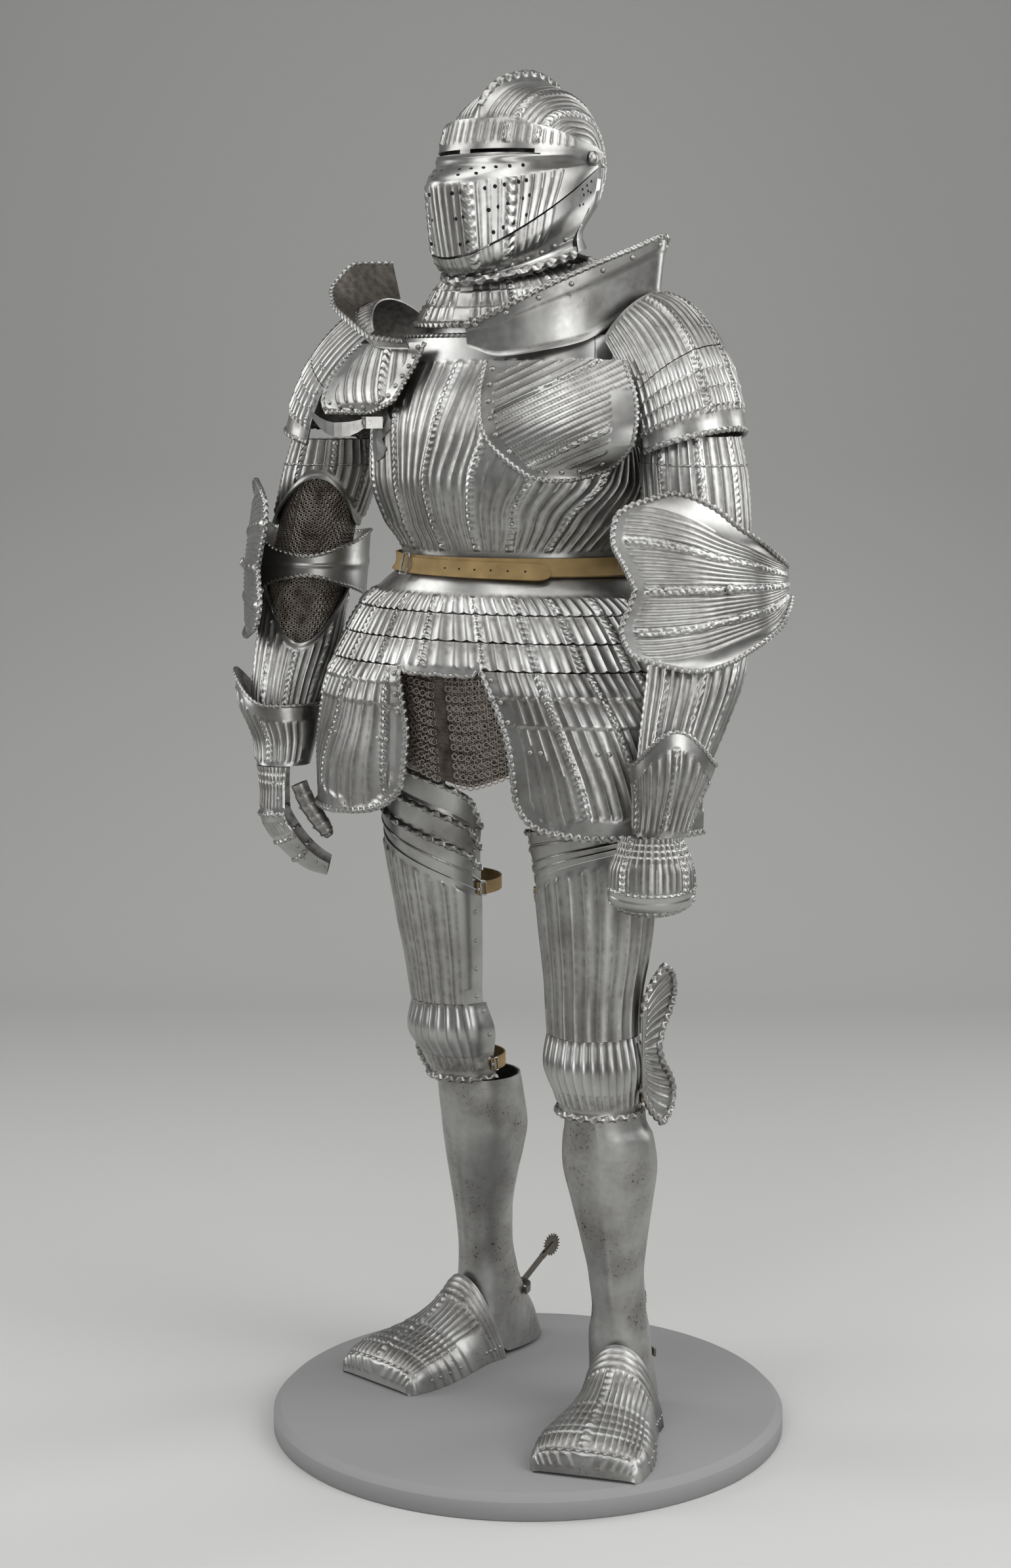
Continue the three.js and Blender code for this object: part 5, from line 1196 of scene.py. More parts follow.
def build_wing(name, side):
    """The flat plate over the armpit: riveted border, roped edge, flutes and two ribs on the slant."""
    shape = Shape()
    edge = WING[name]
    u, z = grid(np.linspace(0, 1, 131), np.linspace(edge["z"][0], edge["z"][-1], 79))
    angle = mix(column(edge, "z", "inner", z), column(edge, "z", "outer", z), u)
    points = ring_point(TRUNK, side * angle, z)
    if name == "left":
        slant = angle - 0.52 * (z - 1384)   # 16.5 on the inner rib, 66 on the outer one
        lines = [-9.0, 16.5, 66.0, 110.0]
        counts, ribs = [4, 11, 6], (1, 2)
    else:
        slant = angle - 0.1 * (z - 1420)
        lines = [16.0, 30.0, 56.0, 70.0]
        counts, ribs = [3, 6, 3], (1, 2)
    height, _ = fluting(points, slant, lines, counts, ribs, width=6)
    su, sv = lengths(points)
    near = np.minimum(su, su[:, -1:] - su)
    border = smooth(near, 16, 20) * smooth(sv, 16, 20)
    if name == "left":
        facet = smooth(u, 0.84, 0.86) * (1 - smooth(z, 1405, 1412))
        border = smooth(su, 16, 20) * smooth(sv, 16, 20) * (1 - facet)
    flare = WING_LIFT + column(edge, "z", "flare", z) * u**WING_CURVE
    outer, normals = ring_plate(shape, TRUNK, side * angle, z, lift=flare, relief=height * border)
    loop = np.concatenate([outer[::-1, 0], outer[0, 1:], outer[1:, -1]])
    around = np.concatenate([normals[::-1, 0], normals[0, 1:], normals[1:, -1]])
    rope(shape, loop[::2], around[::2], 3.6, 8)
    r = np.array([0.93, 0.8, 0.66, 0.52, 0.38, 0.24, 0.12, 0.07, 0.07, 0.08, 0.14])
    c = np.array([0.06, 0.06, 0.06, 0.07, 0.08, 0.1, 0.15, 0.3, 0.5, 0.7, 0.88])
    spots, out = on_grid(outer, normals, r, c)
    rivets(shape, spots, out)
    steel_piece(shape, f"pauldron_{name}_wing_fluted", "suit", [f"pauldron_{name}_wing"])


def build_haute(name):
    """The upright flange: smooth, with a riveted strip under its roped upper edge and a rolled foot."""
    shape = Shape()
    path = HAUTE[name]
    u, v = grid(np.linspace(0, path["v"][-1], 121), np.linspace(0, 1, 25))
    row = row_at(path, "v", u)
    points = np.stack([mix(row[a], row["top" + a.upper()], v) for a in "xyz"], -1)
    core = np.array([0, 0, 1500.0]) + 0 * points
    relief = 1.0 * smooth(v, 0.74, 0.76) + 1.6 * (1 - smooth(v, 0.02, 0.1))
    outer, normals = plate(shape, points, core, relief=relief, inner_slot=DARK)
    rope(shape, outer[-1], normals[-1], 4.2, 10)
    c = np.linspace(0.04, 0.96, 9)
    spots, out = on_grid(outer, normals, 0 * c + 0.87, c)
    rivets(shape, spots, out)
    steel_piece(shape, f"haute_piece_{name}_roped", "suit", [f"haute_piece_{name}"])


# ---------- arms ----------
ARM = "z x y side front back square"
UPPER_ARM = {
    "left": table(ARM, (1216, 288, -53, 64, 64, 64, 2), (1250, 284, -50, 66, 66, 66, 2),
            (1300, 278, -47, 65, 67, 67, 2),
                  (1350, 271, -45, 60, 62, 62, 2)),
    "right": table(ARM, (1224, -334, -28, 60, 60, 60, 2), (1250, -324, -26, 62, 62, 62, 2),
                   (1300, -308, -24, 64, 65, 65, 2), (1342, -294, -33, 56, 58, 56, 2)),
}
LOWER_ARM = {
    "left": table(ARM, (936, 304, -145, 41, 41, 41, 2), (960, 307, -137, 45, 45, 45, 2),
            (1005, 312, -123, 52, 53, 53, 2),
                  (1050, 315, -106, 58, 59, 59, 2), (1092, 312, -90, 61, 61, 61, 2), (1128, 306, -75, 61, 60,
                          60, 2)),
    "right": table(ARM, (962, -338, -97, 40, 40, 40, 2), (990, -341, -88, 45, 46, 46, 2),
                   (1030, -344, -71, 51, 52, 52, 2), (1070, -344, -55, 56, 56, 56, 2),
                   (1110, -345, -43, 58, 58, 58, 2), (1142, -344, -35, 59, 59, 59, 2)),
}
ELBOW = {
    "left": table(ARM, (1116, 307, -79, 51, 51, 51, 2), (1168, 297, -60, 56, 56, 56, 2),
            (1226, 287, -52, 58, 58, 58, 2)),
    "right": table(ARM, (1052, -343, -61, 47, 47, 47, 2), (1105, -345, -44, 51, 51, 51, 2),
                   (1172, -342, -30, 54, 54, 54, 2), (1236, -329, -26, 53, 53, 53, 2), (1291, -311, -24, 57,
                           57, 57, 2)),
}
CROOK = {
    "left": {"upper_facing": -50, "lower_facing": -50, "upper": (1216, 8), "lower": (1128, 8)},
    "right": {"upper_facing": 22, "lower_facing": 40, "upper": (1224, 66), "lower": (1142, 75)},
}
COUTER = {"left": {"centre": (297, -56, 1167), "tilt": 0.25},
        "right": {"centre": (-342, -28, 1172), "tilt": 0.08}}
COUTER_TIP = 114
COUTER_REACH = table("v reach", (0, 236), (0.25, 246), (0.5, 256), (0.75, 250), (0.9, 226), (1, 186))
COUTER_SPREAD = table("u above below", (0, 20, 17), (0.1, 29, 32), (0.2, 39, 48), (0.34, 55, 60),
        (0.5, 72, 73),
                      (0.7, 99, 89), (0.9, 114, 96), (1, 116, 96))
COUTER_BEND = table("q p", (-166, 46), (-100, 70), (-30, 83), (30, 77), (80, 52), (100, 34), (114, 15))
BAND = {"across": 78, "shift": 18, "along": 96}
BAND_HALF = table("angle half", (-285, 22), (-230, 38), (-180, 44), (-130, 27), (-90, 13), (-55, 20),
        (-30, 36), (-2, 52))


def build_arms():
    """Cannons: rings of the arm's forms, cut at the elbow at level + reach max(0, cos(a - facing))^2, with a
    rolled mouth.
    """
    for name, side in (("left", 1), ("right", -1)):
        crook = CROOK[name]

        def cut(angle, facing, level):
            return level[0] + level[1] * np.maximum(0, np.cos(np.radians(angle - facing))) ** 2

        ribs_at = 38 if name == "left" else -52
        lines = [ribs_at - 180 + 45.0 * k for k in range(9)]
        for part in ("upper", "lower"):
            shape = Shape()
            form = UPPER_ARM[name] if part == "upper" else LOWER_ARM[name]
            ring = fitted(lines, [4] * 8, range(9), lines[0], lines[0] + 359.0, 1.05, 5)
            a, v = grid(ring, np.linspace(0, 1, 43))
            if part == "upper":
                low, high = cut(a, crook["upper_facing"], crook["upper"]), form["z"][-1]
            else:
                low, high = form["z"][0], 2 * crook["lower"][0] - cut(a, crook["lower_facing"],
                        crook["lower"])
            z = mix(low, high, v)
            points = ring_point(form, a, z)
            height, _ = fluting(points, a, lines, [4] * 8, ribs=range(9), width=5)
            mouth = v if part == "upper" else 1 - v
            reach = (high - low) * np.ones_like(v) * mouth
            height = height * smooth(reach, 10, 14) + 1.2 * (1 - smooth(reach, 2, 8))
            outer, normals = ring_plate(shape, form, a, z, relief=height, closed=True)
            if part == "upper":
                band = 1316 if name == "left" else 1308
                ring = np.argmin(np.abs(z - band), axis=0)
                take = outer[ring, np.arange(outer.shape[1])]
                rope(shape, take, normals[ring, np.arange(outer.shape[1])], 1.6, 9, closed=True, depth=0.1)
            steel_piece(shape, f"{part}_cannon_{name}_fluted", "suit", [f"{part}_cannon_{name}"])
        build_couter(name, side)


def build_couter(name, side):
    """A fan: q = tip - u reach(|v|), p = bend(q) + 8 (1 - |v|) sin(pi u), side = v spread(u). Its band:
    an open
    ellipse of half width BAND_HALF, raised 1.5 exp(-(v / 0.14)^2) along the middle.
    """
    centre, tilt = COUTER[name].values()
    outward, backward = np.array([side * 0.829, -0.559, 0]), np.array([side * 0.559, 0.829, 0])
    up = np.array([-tilt * outward[0], -tilt * outward[1], 1])
    place = local_frame(centre, outward, backward, up)
    centre = place(0.0, 0.0, 0.0)
    shape = Shape()
    fan = [-0.86, -0.52, 0.0, 0.52, 0.86]
    u, v = grid(np.linspace(0, 1, 81), fitted(fan, [5, 7, 7, 5], (1, 2, 3), -1.0, 1.0, 100, 5))
    q = COUTER_TIP - u * column(COUTER_REACH, "v", "reach", np.abs(v))
    ridge = 8 * (1 - np.abs(v)) * np.sin(np.pi * np.minimum(1, u))
    spread = row_at(COUTER_SPREAD, "u", u)
    points = place(column(COUTER_BEND, "q", "p", q) + ridge, q,
            v * np.where(v > 0, spread["above"], spread["below"]))
    grooves, _ = fluting(points.transpose(1, 0, 2), v.T, fan, [5, 7, 7, 5], ribs=(1, 2, 3),
                         width=5.0, depth=1.2)
    su, sv = lengths(points)
    edge = smooth(np.minimum(np.minimum(sv, sv[-1:] - sv) + 60 * (1 - smooth(u, 0.3, 0.42)),
            su[:, -1:] - su), 14, 18)
    outer, normals = plate(shape, points, centre + 0 * points,
            relief=grooves.T * edge * smooth(u, 0.02, 0.06))
    loop = np.concatenate([outer[0], outer[1:, -1], outer[-1, -2::-1]])
    around = np.concatenate([normals[0], normals[1:, -1], normals[-1, -2::-1]])
    rope(shape, loop[::2], around[::2], 4.0, 9)
    spot, out = on_grid(outer, normals, [0.5], [0.56])
    rivets(shape, spot + 2 * out, out, 7, 4, sides=12)
    a, v = grid(np.linspace(-285, -2, 127), np.linspace(-1, 1, 25))
    a2 = np.radians(a)
    points = place(BAND["across"] * np.cos(a2), BAND["shift"] + BAND["along"] * np.sin(a2),
            v * column(BAND_HALF, "angle", "half", a))
    outer, normals = plate(shape, points, centre + 0 * points, relief=1.5 * np.exp(-(v / 0.14) ** 2),
            shade=0.2 + 0 * a)
    for k in (0, -1):
        rope(shape, outer[k][::2], normals[k][::2], 3.0, 8)
    steel_piece(shape, f"couter_{name}_fluted", "suit", [f"couter_{name}"])


# ---------- gauntlets ----------
CUFF = {"left": {"facing": 34, "peak": 46, "rim": 952}, "right": {"facing": -60, "peak": 44, "rim": 984}}
CUFF_FORM = {
    "left": table(ARM, (868, 302, -163, 35, 33, 33, 2), (900, 304, -155, 40, 38, 38, 2),
            (952, 308, -143, 53, 55, 50, 2),
                  (1000, 305, -133, 57, 63, 56, 2)),
    "right": table(ARM, (903, -326, -115, 37, 36, 36, 2), (935, -331, -104, 43, 42, 42, 2),
                   (984, -345, -93, 58, 60, 60, 2), (1030, -351, -75, 72, 70, 70, 2)),
}
MITTEN = arches((0, 35, 0, 0, 35, 88), (20, 39, 20, 0, 44, 88), (42, 43, 42, 0, 53, 88),
        (64, 44, 58, 0, 54, 88),
                (84, 37, 74, -4, 53, 88), (96, 20, 82, -12, 51, 88), (101, 2, 86, -22, 48, 88))
HAND = arches((0, 35, 0, -8, 34, 88), (34, 32, 34, -6, 42, 88), (66, 33, 62, -6, 46, 88),
        (100, 17, 84, -18, 45, 86),
              (126, -6, 104, -34, 43, 84), (146, -34, 118, -50, 40, 82), (153, -58, 127, -64, 36, 80))
THUMB = arches((24, -20, 20, -30, 12, 150), (48, -29, 44, -40, 12, 150), (72, -44, 66, -54, 12, 150),
               (89, -58, 84, -66, 9, 150), (95, -67, 92, -71, 5, 150))


def build_gauntlets():
    """Cuffs: rings of CUFF_FORM up to rim + peak max(0, cos(a - facing))^3. Mitten, hand and thumb: arches
    along the fingers, their lames stepped by 1 - mod(v / pitch, 1).
    """
    for name in ("left", "right"):
        facing, peak, rim = CUFF[name].values()
        form = CUFF_FORM[name]
        shape = Shape()
        lines = [facing + turn for turn in (-130, -65, 0, 65, 130)]
        ring = fitted(lines, [6] * 4, (1, 2, 3), facing - 180.0, facing + 179.0, 0.9, 4.5)
        a, v = grid(ring, np.linspace(0, 1, 41))
        point = np.maximum(0, np.cos(np.radians(a - facing))) ** 3
        z = mix(form["z"][0], rim + peak * point, v)
        points = ring_point(form, a, z)
        height, _ = fluting(points, a, lines, [6] * 4,
                            ribs=(1, 2, 3), width=4.5)
        _, sv = lengths(points)
        height = height * smooth(sv[-1:] - sv, 20, 23) * smooth(sv, 3, 8)
        outer, normals = ring_plate(shape, form, a, z, relief=height, closed=True)
        rope(shape, outer[-1], normals[-1], 3.0, 8, closed=True)
        steel_piece(shape, f"gauntlet_{name}_cuff_fluted", "suit", [f"gauntlet_{name}_cuff"])
    left = local_frame((294, -170, 866), (0, 0, -1), (0.559, -0.829, 0), (0.829, 0.559, 0))
    shape = Shape()
    lines = [-0.95, -0.5, 0.05, 0.55, 0.95]
    us = fitted(lines, [5] * 4, (1, 3), -1.0, 1.0, 70, 4)
    u, v, points, core = arch_grid(MITTEN, left, us, np.linspace(0, 6, 97))
    height, _ = fluting(points, u, lines, [5] * 4, ribs=(1, 3), width=4, depth=0.9)
    wrist = 1.4 * (1 - np.mod(v / 0.36, 1)) * (v < 1.44)
    height = height * (1 - smooth(v, 3.1, 3.2)) + wrist + 1.5 * ((v > 3.7) & (v < 4.5))
    outer, normals = plate(shape, points, core, relief=height)
    for at in (3.25, 4.7):
        k = int(at / 6 * 96)
        rope(shape, outer[k], normals[k], 3.0, 9, sink=0.5)
    rope(shape, outer[-1], normals[-1], 2.0, 8)
    spots, out = on_grid(outer, normals, np.linspace(0.08, 0.7, 7), [0.93] * 7)
    rivets(shape, spots, out, 2.6)
    steel_piece(shape, "gauntlet_left_mitten_fluted", "suit", ["gauntlet_left_mitten"])
    right = local_frame((-326, -115, 901), (0, 0, -1), (-0.829, -0.559, 0), (0.559, -0.829, 0))
    shape = Shape()
    lines = [-0.95, -0.45, 0.05, 0.55, 0.95]
    us = fitted(lines, [5] * 4, (), -1.0, 1.0, 60)
    u, v, points, core = arch_grid(HAND, right, us, np.linspace(0, 6, 97))
    height, _ = fluting(points, u, lines, [5] * 4, ribs=(), depth=0.9)
    height = height * ((v < 1.7) | ((v > 2.35) & (v < 3.0)))
    height = height + 1.2 * (1 - np.mod(v / 0.3, 1)) * (v < 0.9)
    outer, normals = plate(shape, points, core, relief=height)
    for at in (2.05, 3.3, 4.3):
        k = int(at / 6 * 96)
        rope(shape, outer[k], normals[k], 4.2, 9, sink=0.6)
    spots, out = on_grid(outer, normals, np.linspace(0.1, 0.95, 9), [0.86, 0.93] * 4 + [0.9])
    rivets(shape, spots, out, 2.6)
    steel_piece(shape, "gauntlet_right_hand_fluted", "suit", ["gauntlet_right_hand"])
    thumb = local_frame((-306, -154, 901), (0, 0, -1), (-0.829, -0.559, 0), (0.559, -0.829, 0))
    shape = Shape()
    u, v, points, core = arch_grid(THUMB, thumb, np.linspace(-1, 1, 41), np.linspace(0, 4, 61))
    outer, normals = plate(shape, points, core, relief=1.2 * (1 - np.mod(v / 0.6, 1)))
    spots, out = on_grid(outer, normals, [0.3, 0.6, 0.8], [0.5] * 3)
    rivets(shape, spots, out, 2.4)
    steel_piece(shape, "gauntlet_right_thumb_lamed", "suit", ["gauntlet_right_thumb"])


# ---------- legs ----------
THIGH = {
    "left": table(ARM, (476, 140, -40, 53, 55, 50, 2), (500, 137, -40, 57, 62, 55, 2),
            (535, 133, -41, 62, 68, 58, 2),
                  (570, 130, -40, 60, 62, 58, 2), (627, 127, -37, 63, 63, 63, 2), (673, 128, -35, 69, 69, 69,
                          2),
                  (712, 127, -33, 74, 74, 74, 2), (779, 123, -30, 79, 80, 79, 2), (830, 116, -30, 82, 83, 80,
                          2),
                  (890, 112, -26, 84, 84, 82, 2)),
    "right": table(ARM, (462, -154, 80, 52, 55, 50, 2), (490, -158, 76, 57, 62, 55, 2),
            (525, -162, 70, 67, 72, 58, 2),
                   (566, -162, 60, 60, 61, 58, 2), (632, -157, 45, 65, 65, 65, 2), (680, -153, 33, 70, 70,
                           70, 2),
                   (715, -150, 25, 73, 74, 74, 2), (790, -147, 10, 79, 80, 79, 2), (850, -141, 0, 84, 84, 80,
                           2),
                   (900, -136, -2, 85, 84, 82, 2)),
}
LEVELS = {
    "left": {"rope": 470, "knee": 572, "inner": 744, "outer": 826, "rise": 2.6, "top_inner": 834,
            "top_outer": 880,
             "sag": 1},
    "right": {"rope": 456, "knee": 566, "inner": 731, "outer": 850, "rise": 1.3, "top_inner": 826,
            "top_outer": 950,
              "sag": 0.4},
}
GREAVE = {
    "left": table(ARM, (38, 152, 3, 46, 50, 74, 2.2), (80, 151, 2, 44, 48, 66, 2.2),
            (120, 149, 0, 42, 44, 54, 2),
                  (155, 147, 0, 41, 42, 46, 2), (190, 148, -2, 36, 40, 38, 2), (235, 147, -8, 37, 40, 37, 2),
                  (285, 147, -14, 44, 46, 44, 2), (340, 147, -20, 54, 54, 58, 2), (398, 147, -27, 63, 60, 66,
                          2),
                  (438, 147, -32, 59, 59, 62, 2), (450, 145, -34, 54, 58, 61, 2), (468.5, 144, -35, 53, 57,
                          60, 2)),
    "right": table(ARM, (38, -158, 130, 48, 50, 100, 2.2), (80, -158, 130, 46, 48, 84, 2.2),
            (120, -158, 130, 43, 44, 62, 2),
                   (155, -158, 131, 41, 42, 46, 2), (194, -158, 128, 38, 41, 40, 2), (244, -158, 124, 41, 43,
                           41, 2),
                   (299, -154, 117, 49, 50, 49, 2), (337, -148, 109, 55, 55, 58, 2), (382, -143, 100, 60, 58,
                           66, 2),
                   (432, -141, 89, 60, 58, 62, 2), (454.5, -142, 87, 58, 57, 60, 2)),
}
GREAVE_CUT = table("angle z", (0, 142), (20, 136), (42, 118), (58, 84), (74, 52), (88, 40), (180, 38))
SABATON = arches(
    (51, 154, 14, FLOOR_TOP, 54, 90, 0.95, 0.95), (80, 128, 38, FLOOR_TOP, 54, 90, 0.88, 0.95),
    (110, 109, 70, FLOOR_TOP, 58, 90, 0.75, 0.95), (144, 96, 112, FLOOR_TOP, 68, 90, 0.65, 0.9),
    (174, 88, 152, FLOOR_TOP, 75, 90, 0.55, 0.85), (197, 80, 182, FLOOR_TOP, 76, 90, 0.5, 0.8),
    (214, 64, 205, FLOOR_TOP, 72, 90, 0.42, 0.75), (219, 38, 217, FLOOR_TOP, 66, 90, 0.35, 0.7),
)
FOOT = {"left": {"x": 158, "y": 3, "turn": 17}, "right": {"x": -158, "y": 130, "turn": -11}}
KNEE_WING = {"half": 106, "root": 0.42, "start": 4, "rise": 36, "gap": 7.5, "stand": 4, "bend": 9,
        "curl": 0.0006,
             "behind": 14}
KNEE_WING_REACH = table("v reach", (0, 28), (0.2, 38), (0.45, 62), (0.65, 72), (0.85, 66), (1, 40))


def strap(shape, form, side, inner, outer, level):
    """A buff strap round the open back of a limb plate, riveted at both edges, its buckle on the inner
    one."""
    a, h = grid(np.linspace(inner, outer - 360, 60), np.linspace(-9, 9, 5))
    over = np.minimum(np.abs(a - inner), np.abs(a - outer + 360))
    points, normals = ring_plate(shape, form, side * a, level + h, lift=3.4 - 2.4 * smooth(over, 7, 14),
                                 coarse=1, slot=LEATHER, shade=0.2 + 0 * a)
    frame_at = [(0.02, 0.0), (0.02, 1.0), (0.07, 1.0), (0.07, 0.0)]
    loop, around = on_grid(points, normals, [row for _, row in frame_at], [place for place, _ in frame_at])
    rope(shape, loop + 1.2 * around, around, 1.4, 6, closed=True, depth=0.0)
    spots, out = on_grid(points, normals, [0.5, 0.5], [0.015, 0.985])
    rivets(shape, spots, out)


def build_legs(sizes):
    """Cuisse: rings of THIGH up to a brink that goes from outer to inner as (1 - u)^rise; its lames end at a
    top that goes from inner to outer as u^sag. Poleyn: the same rings with a bulge, fluted. Straps behind.
    """
    for name, side in (("left", 1), ("right", -1)):
        rope_z, knee, inner, outer_z, rise, top_inner, top_outer, sag = LEVELS[name].values()
        form = THIGH[name]
        lines = [0.13, 0.5, 0.92]
        u, v = grid(fitted(lines, [6, 6], (), 0.0, 1.0, 260), np.linspace(0, 1, 61))
        angle = side * mix(-75, 148, u)
        brink = mix(outer_z, inner, (1 - u) ** rise)
        z = mix(knee + 0.8, brink, v)
        shape = Shape()
        points = ring_point(form, angle, z)
        height, _ = fluting(points, u, lines, [6, 6], depth=sizes.flute_depth * 1800)
        _, sv = lengths(points)
        height = height * smooth(sv[-1:] - sv, 10, 13)
        outer, normals = ring_plate(shape, form, angle, z, relief=height)
        spots, out = on_grid(outer, normals, [0.06, 0.3, 0.55, 0.8], [0.04] * 4)
        rivets(shape, spots, out, 3)
        strap(shape, form, side, -68, 141, inner + 6)
        steel_piece(shape, f"cuisse_{name}_fluted", "suit", [f"cuisse_{name}"])
        shape = Shape()
        z = mix(brink + 0.8, mix(top_inner, top_outer, u**sag), v)
        levels = (1, 0.7, 0.38, 0.0)
        lift = 1.8 - lame_lift(v, 0.5 + 0 * v, levels, 1.8, 0)
        outer, normals = ring_plate(shape, form, angle, z, relief=lift - 1.8)
        marks = (0.36, 0.66, 0.98) if name == "right" else (0.98,)
        for at in marks:
            k = int(at * 60)
            rope(shape, outer[k], normals[k], 5.2, 17, depth=0.5)
        for at in (0.16, 0.34, 0.66) if name == "left" else (0.16,):
            k = int(at * 60)
            rope(shape, outer[k], normals[k], 1.8, depth=0.0, pitch=8)
        spots, out = on_grid(outer, normals, [0.1, 0.26, 0.5, 0.8], [0.05] * 4)
        rivets(shape, spots, out, 3)
        steel_piece(shape, f"cuisse_lames_{name}_roped", "suit", [f"cuisse_lames_{name}"])
        shape = Shape()
        lines = [0.14, 0.5, 0.88]
        u, v = grid(fitted(lines, [7, 8], (), 0.0, 1.0, 220), np.linspace(0, 1, 51))
        angle = side * mix(-80, 118, u)
        z = mix(rope_z, knee, v)
        points = ring_point(form, angle, z)
        height, phase = fluting(points, u, lines, [7, 8], depth=sizes.flute_depth * 1400)
        bulge = table("v lift", (0, 2), (0.16, 0), (0.6, 3), (0.86, 2), (1, 0))
        step = lame_lift(v, phase, (1, 0.3, 0), 1.4, 0.02)
        outer, normals = ring_plate(shape, form, angle, z,
                relief=column(bulge, "v", "lift", v) + height * smooth(v, 0.1, 0.14) + step * 0.5)
        rope(shape, outer[0], normals[0], 5.8, 16, depth=0.5)
        spots, out = on_grid(outer, normals, [0.9, 0.6, 0.25, 0.9, 0.6, 0.3], [0.04] * 3 + [0.96] * 3)
        rivets(shape, spots, out, 3.2)
        strap(shape, form, side, -73, 111, rope_z + 19)
        steel_piece(shape, f"poleyn_{name}_fluted", "suit", [f"poleyn_{name}"])
        build_knee_wing(name, side, form, (rope_z + knee) / 2 + KNEE_WING["rise"])
        build_foot(name)


def build_knee_wing(name, side, form, middle):
    """Two lobes: q = start + u reach(|v|), p = stand + bend u^2 - curl (q + behind)^2, and
    v half mix(root, 1, sqrt u) along the leg.
    """
    shape = Shape()
    knee = {n: float(c) for n, c in row_at(form, "z", middle).items()}
    place = local_frame((knee["x"] + side * (knee["side"] + KNEE_WING["gap"]), knee["y"], middle),
            (side, 0, 0), (0, 1, 0), (0, 0, 1))
    u, v = grid(np.linspace(0, 1, 41), fitted([-1.0, 0.0, 1.0], [8, 8], (), -1.0, 1.0, 80))
    wing = KNEE_WING
    q = wing["start"] + u * column(KNEE_WING_REACH, "v", "reach", np.abs(v))
    side_way = v * mix(wing["root"], 1, np.sqrt(u)) * wing["half"]
    points = place(wing["stand"] + wing["bend"] * u * u - wing["curl"] * (q + wing["behind"]) ** 2, q,
            side_way)
    grooves, _ = fluting(points.transpose(1, 0, 2), v.T, [-1.0, 0.0, 1.0], [8, 8])
    outer, normals = plate(shape, points, place(-60.0, 0.0, 0.0) + 0 * points,
            relief=grooves.T * smooth(u, 0.1, 0.2) * (1 - smooth(u, 0.85, 0.9)))
    loop = np.concatenate([outer[0], outer[1:, -1], outer[-1, -2::-1]])
    around = np.concatenate([normals[0], normals[1:, -1], normals[-1, -2::-1]])
    rope(shape, loop, around, 5.0, 13, depth=0.5)
    steel_piece(shape, f"poleyn_wing_{name}_fluted", "suit", [f"poleyn_wing_{name}"])


TOE_ROW, TOE_SPAN = 87, slice(10, -10)   # row and columns of the sabaton's toe rope


def build_foot(name):
    """Greave: superellipse rings turned with the foot, above GREAVE_CUT, with a shin ridge 2.2 exp(-(a /
    5)^2).
    Sabaton: arches along the foot, stepped in lames, fluted in the middle, waves of cosines on the toe.
    """
    x, y, turn = FOOT[name].values()
    a = math.radians(turn)
    form = GREAVE[name]
    shape = Shape()
    angle, v = grid(np.arange(0, 360, 4.0), np.linspace(0, 1, 55))
    low = column(GREAVE_CUT, "angle", "z", np.abs((angle + 180) % 360 - 180))
    z = mix(low, form["z"][-1], v)
    row = row_at(form, "z", z)
    power = 2 / row["square"]
    sine = signed_power(np.sin(np.radians(angle)), power) * row["side"]
    cosine = signed_power(np.cos(np.radians(angle)), power)
    depth = np.where(cosine > 0, row["front"], row["back"]) * cosine
    points = np.stack([row["x"] + sine * math.cos(a) + depth * math.sin(a),
            row["y"] + sine * math.sin(a) - depth * math.cos(a), z], -1)
    core = np.stack([row["x"], row["y"], z], -1)
    fold = np.abs((angle + 180) % 360 - 180)
    shin = 2.2 * np.exp(-(fold / 5.0) ** 2) * smooth(z, 170, 230)
    outer, normals = plate(shape, points, core, relief=shin, closed=True, shade=0.25 + 0 * z)
    steel_piece(shape, f"greave_{name}_plain", "suit", [f"greave_{name}"], "pitted")

    foot = local_frame((x, y, 0), (math.sin(a), -math.cos(a), 0), (0, 0, 1), (math.cos(a), math.sin(a), 0))
    shape = Shape()
    lines = [-0.72, -0.02, 0.68]
    us = fitted(lines, [9, 9], (1,), -1.0, 1.0, 80, 5)
    u, v, points, core = arch_grid(SABATON, foot, us, np.linspace(0, 7, 106))
    height, phase = fluting(points, u, lines, [9, 9], ribs=(1,), width=5, depth=1.1, pitch=11)
    body = smooth(v, 0.85, 0.95) * (1 - smooth(v, 5.55, 5.7))
    lames = lame_lift(7 - v, phase, (7, 6.78, 6.55, 6.3, 6.0, 4.4, 3.9, 3.4, 2.9, 2.4, 0), 1.6, 0.0)
    toe = 1.6 * smooth(v, 5.9, 6.0) * (1 - smooth(v, 6.6, 6.7)) * (0.5 + 0.5 * np.cos(2 * np.pi
            * (np.abs(u) * 7 + v * 0.8)))
    side_band = 0.8 * smooth(np.abs(u), 0.8, 0.82)
    outer, normals = plate(shape, points, core,
            relief=height * body * (np.abs(u) < 0.72) + lames + toe + side_band)
    spots, out = on_grid(outer, normals, np.array([0.3, 0.7, 1.0, 1.3, 3.0, 3.6, 4.2, 4.8] * 2) / 7,
            [0.93] * 8 + [0.07] * 8)
    rivets(shape, spots, out, 2.6)
    rope(shape, outer[TOE_ROW][TOE_SPAN], normals[TOE_ROW][TOE_SPAN], 2.6, 12, sink=0.5)
    steel_piece(shape, f"sabaton_{name}_fluted", "suit", [f"sabaton_{name}"], "pitted")


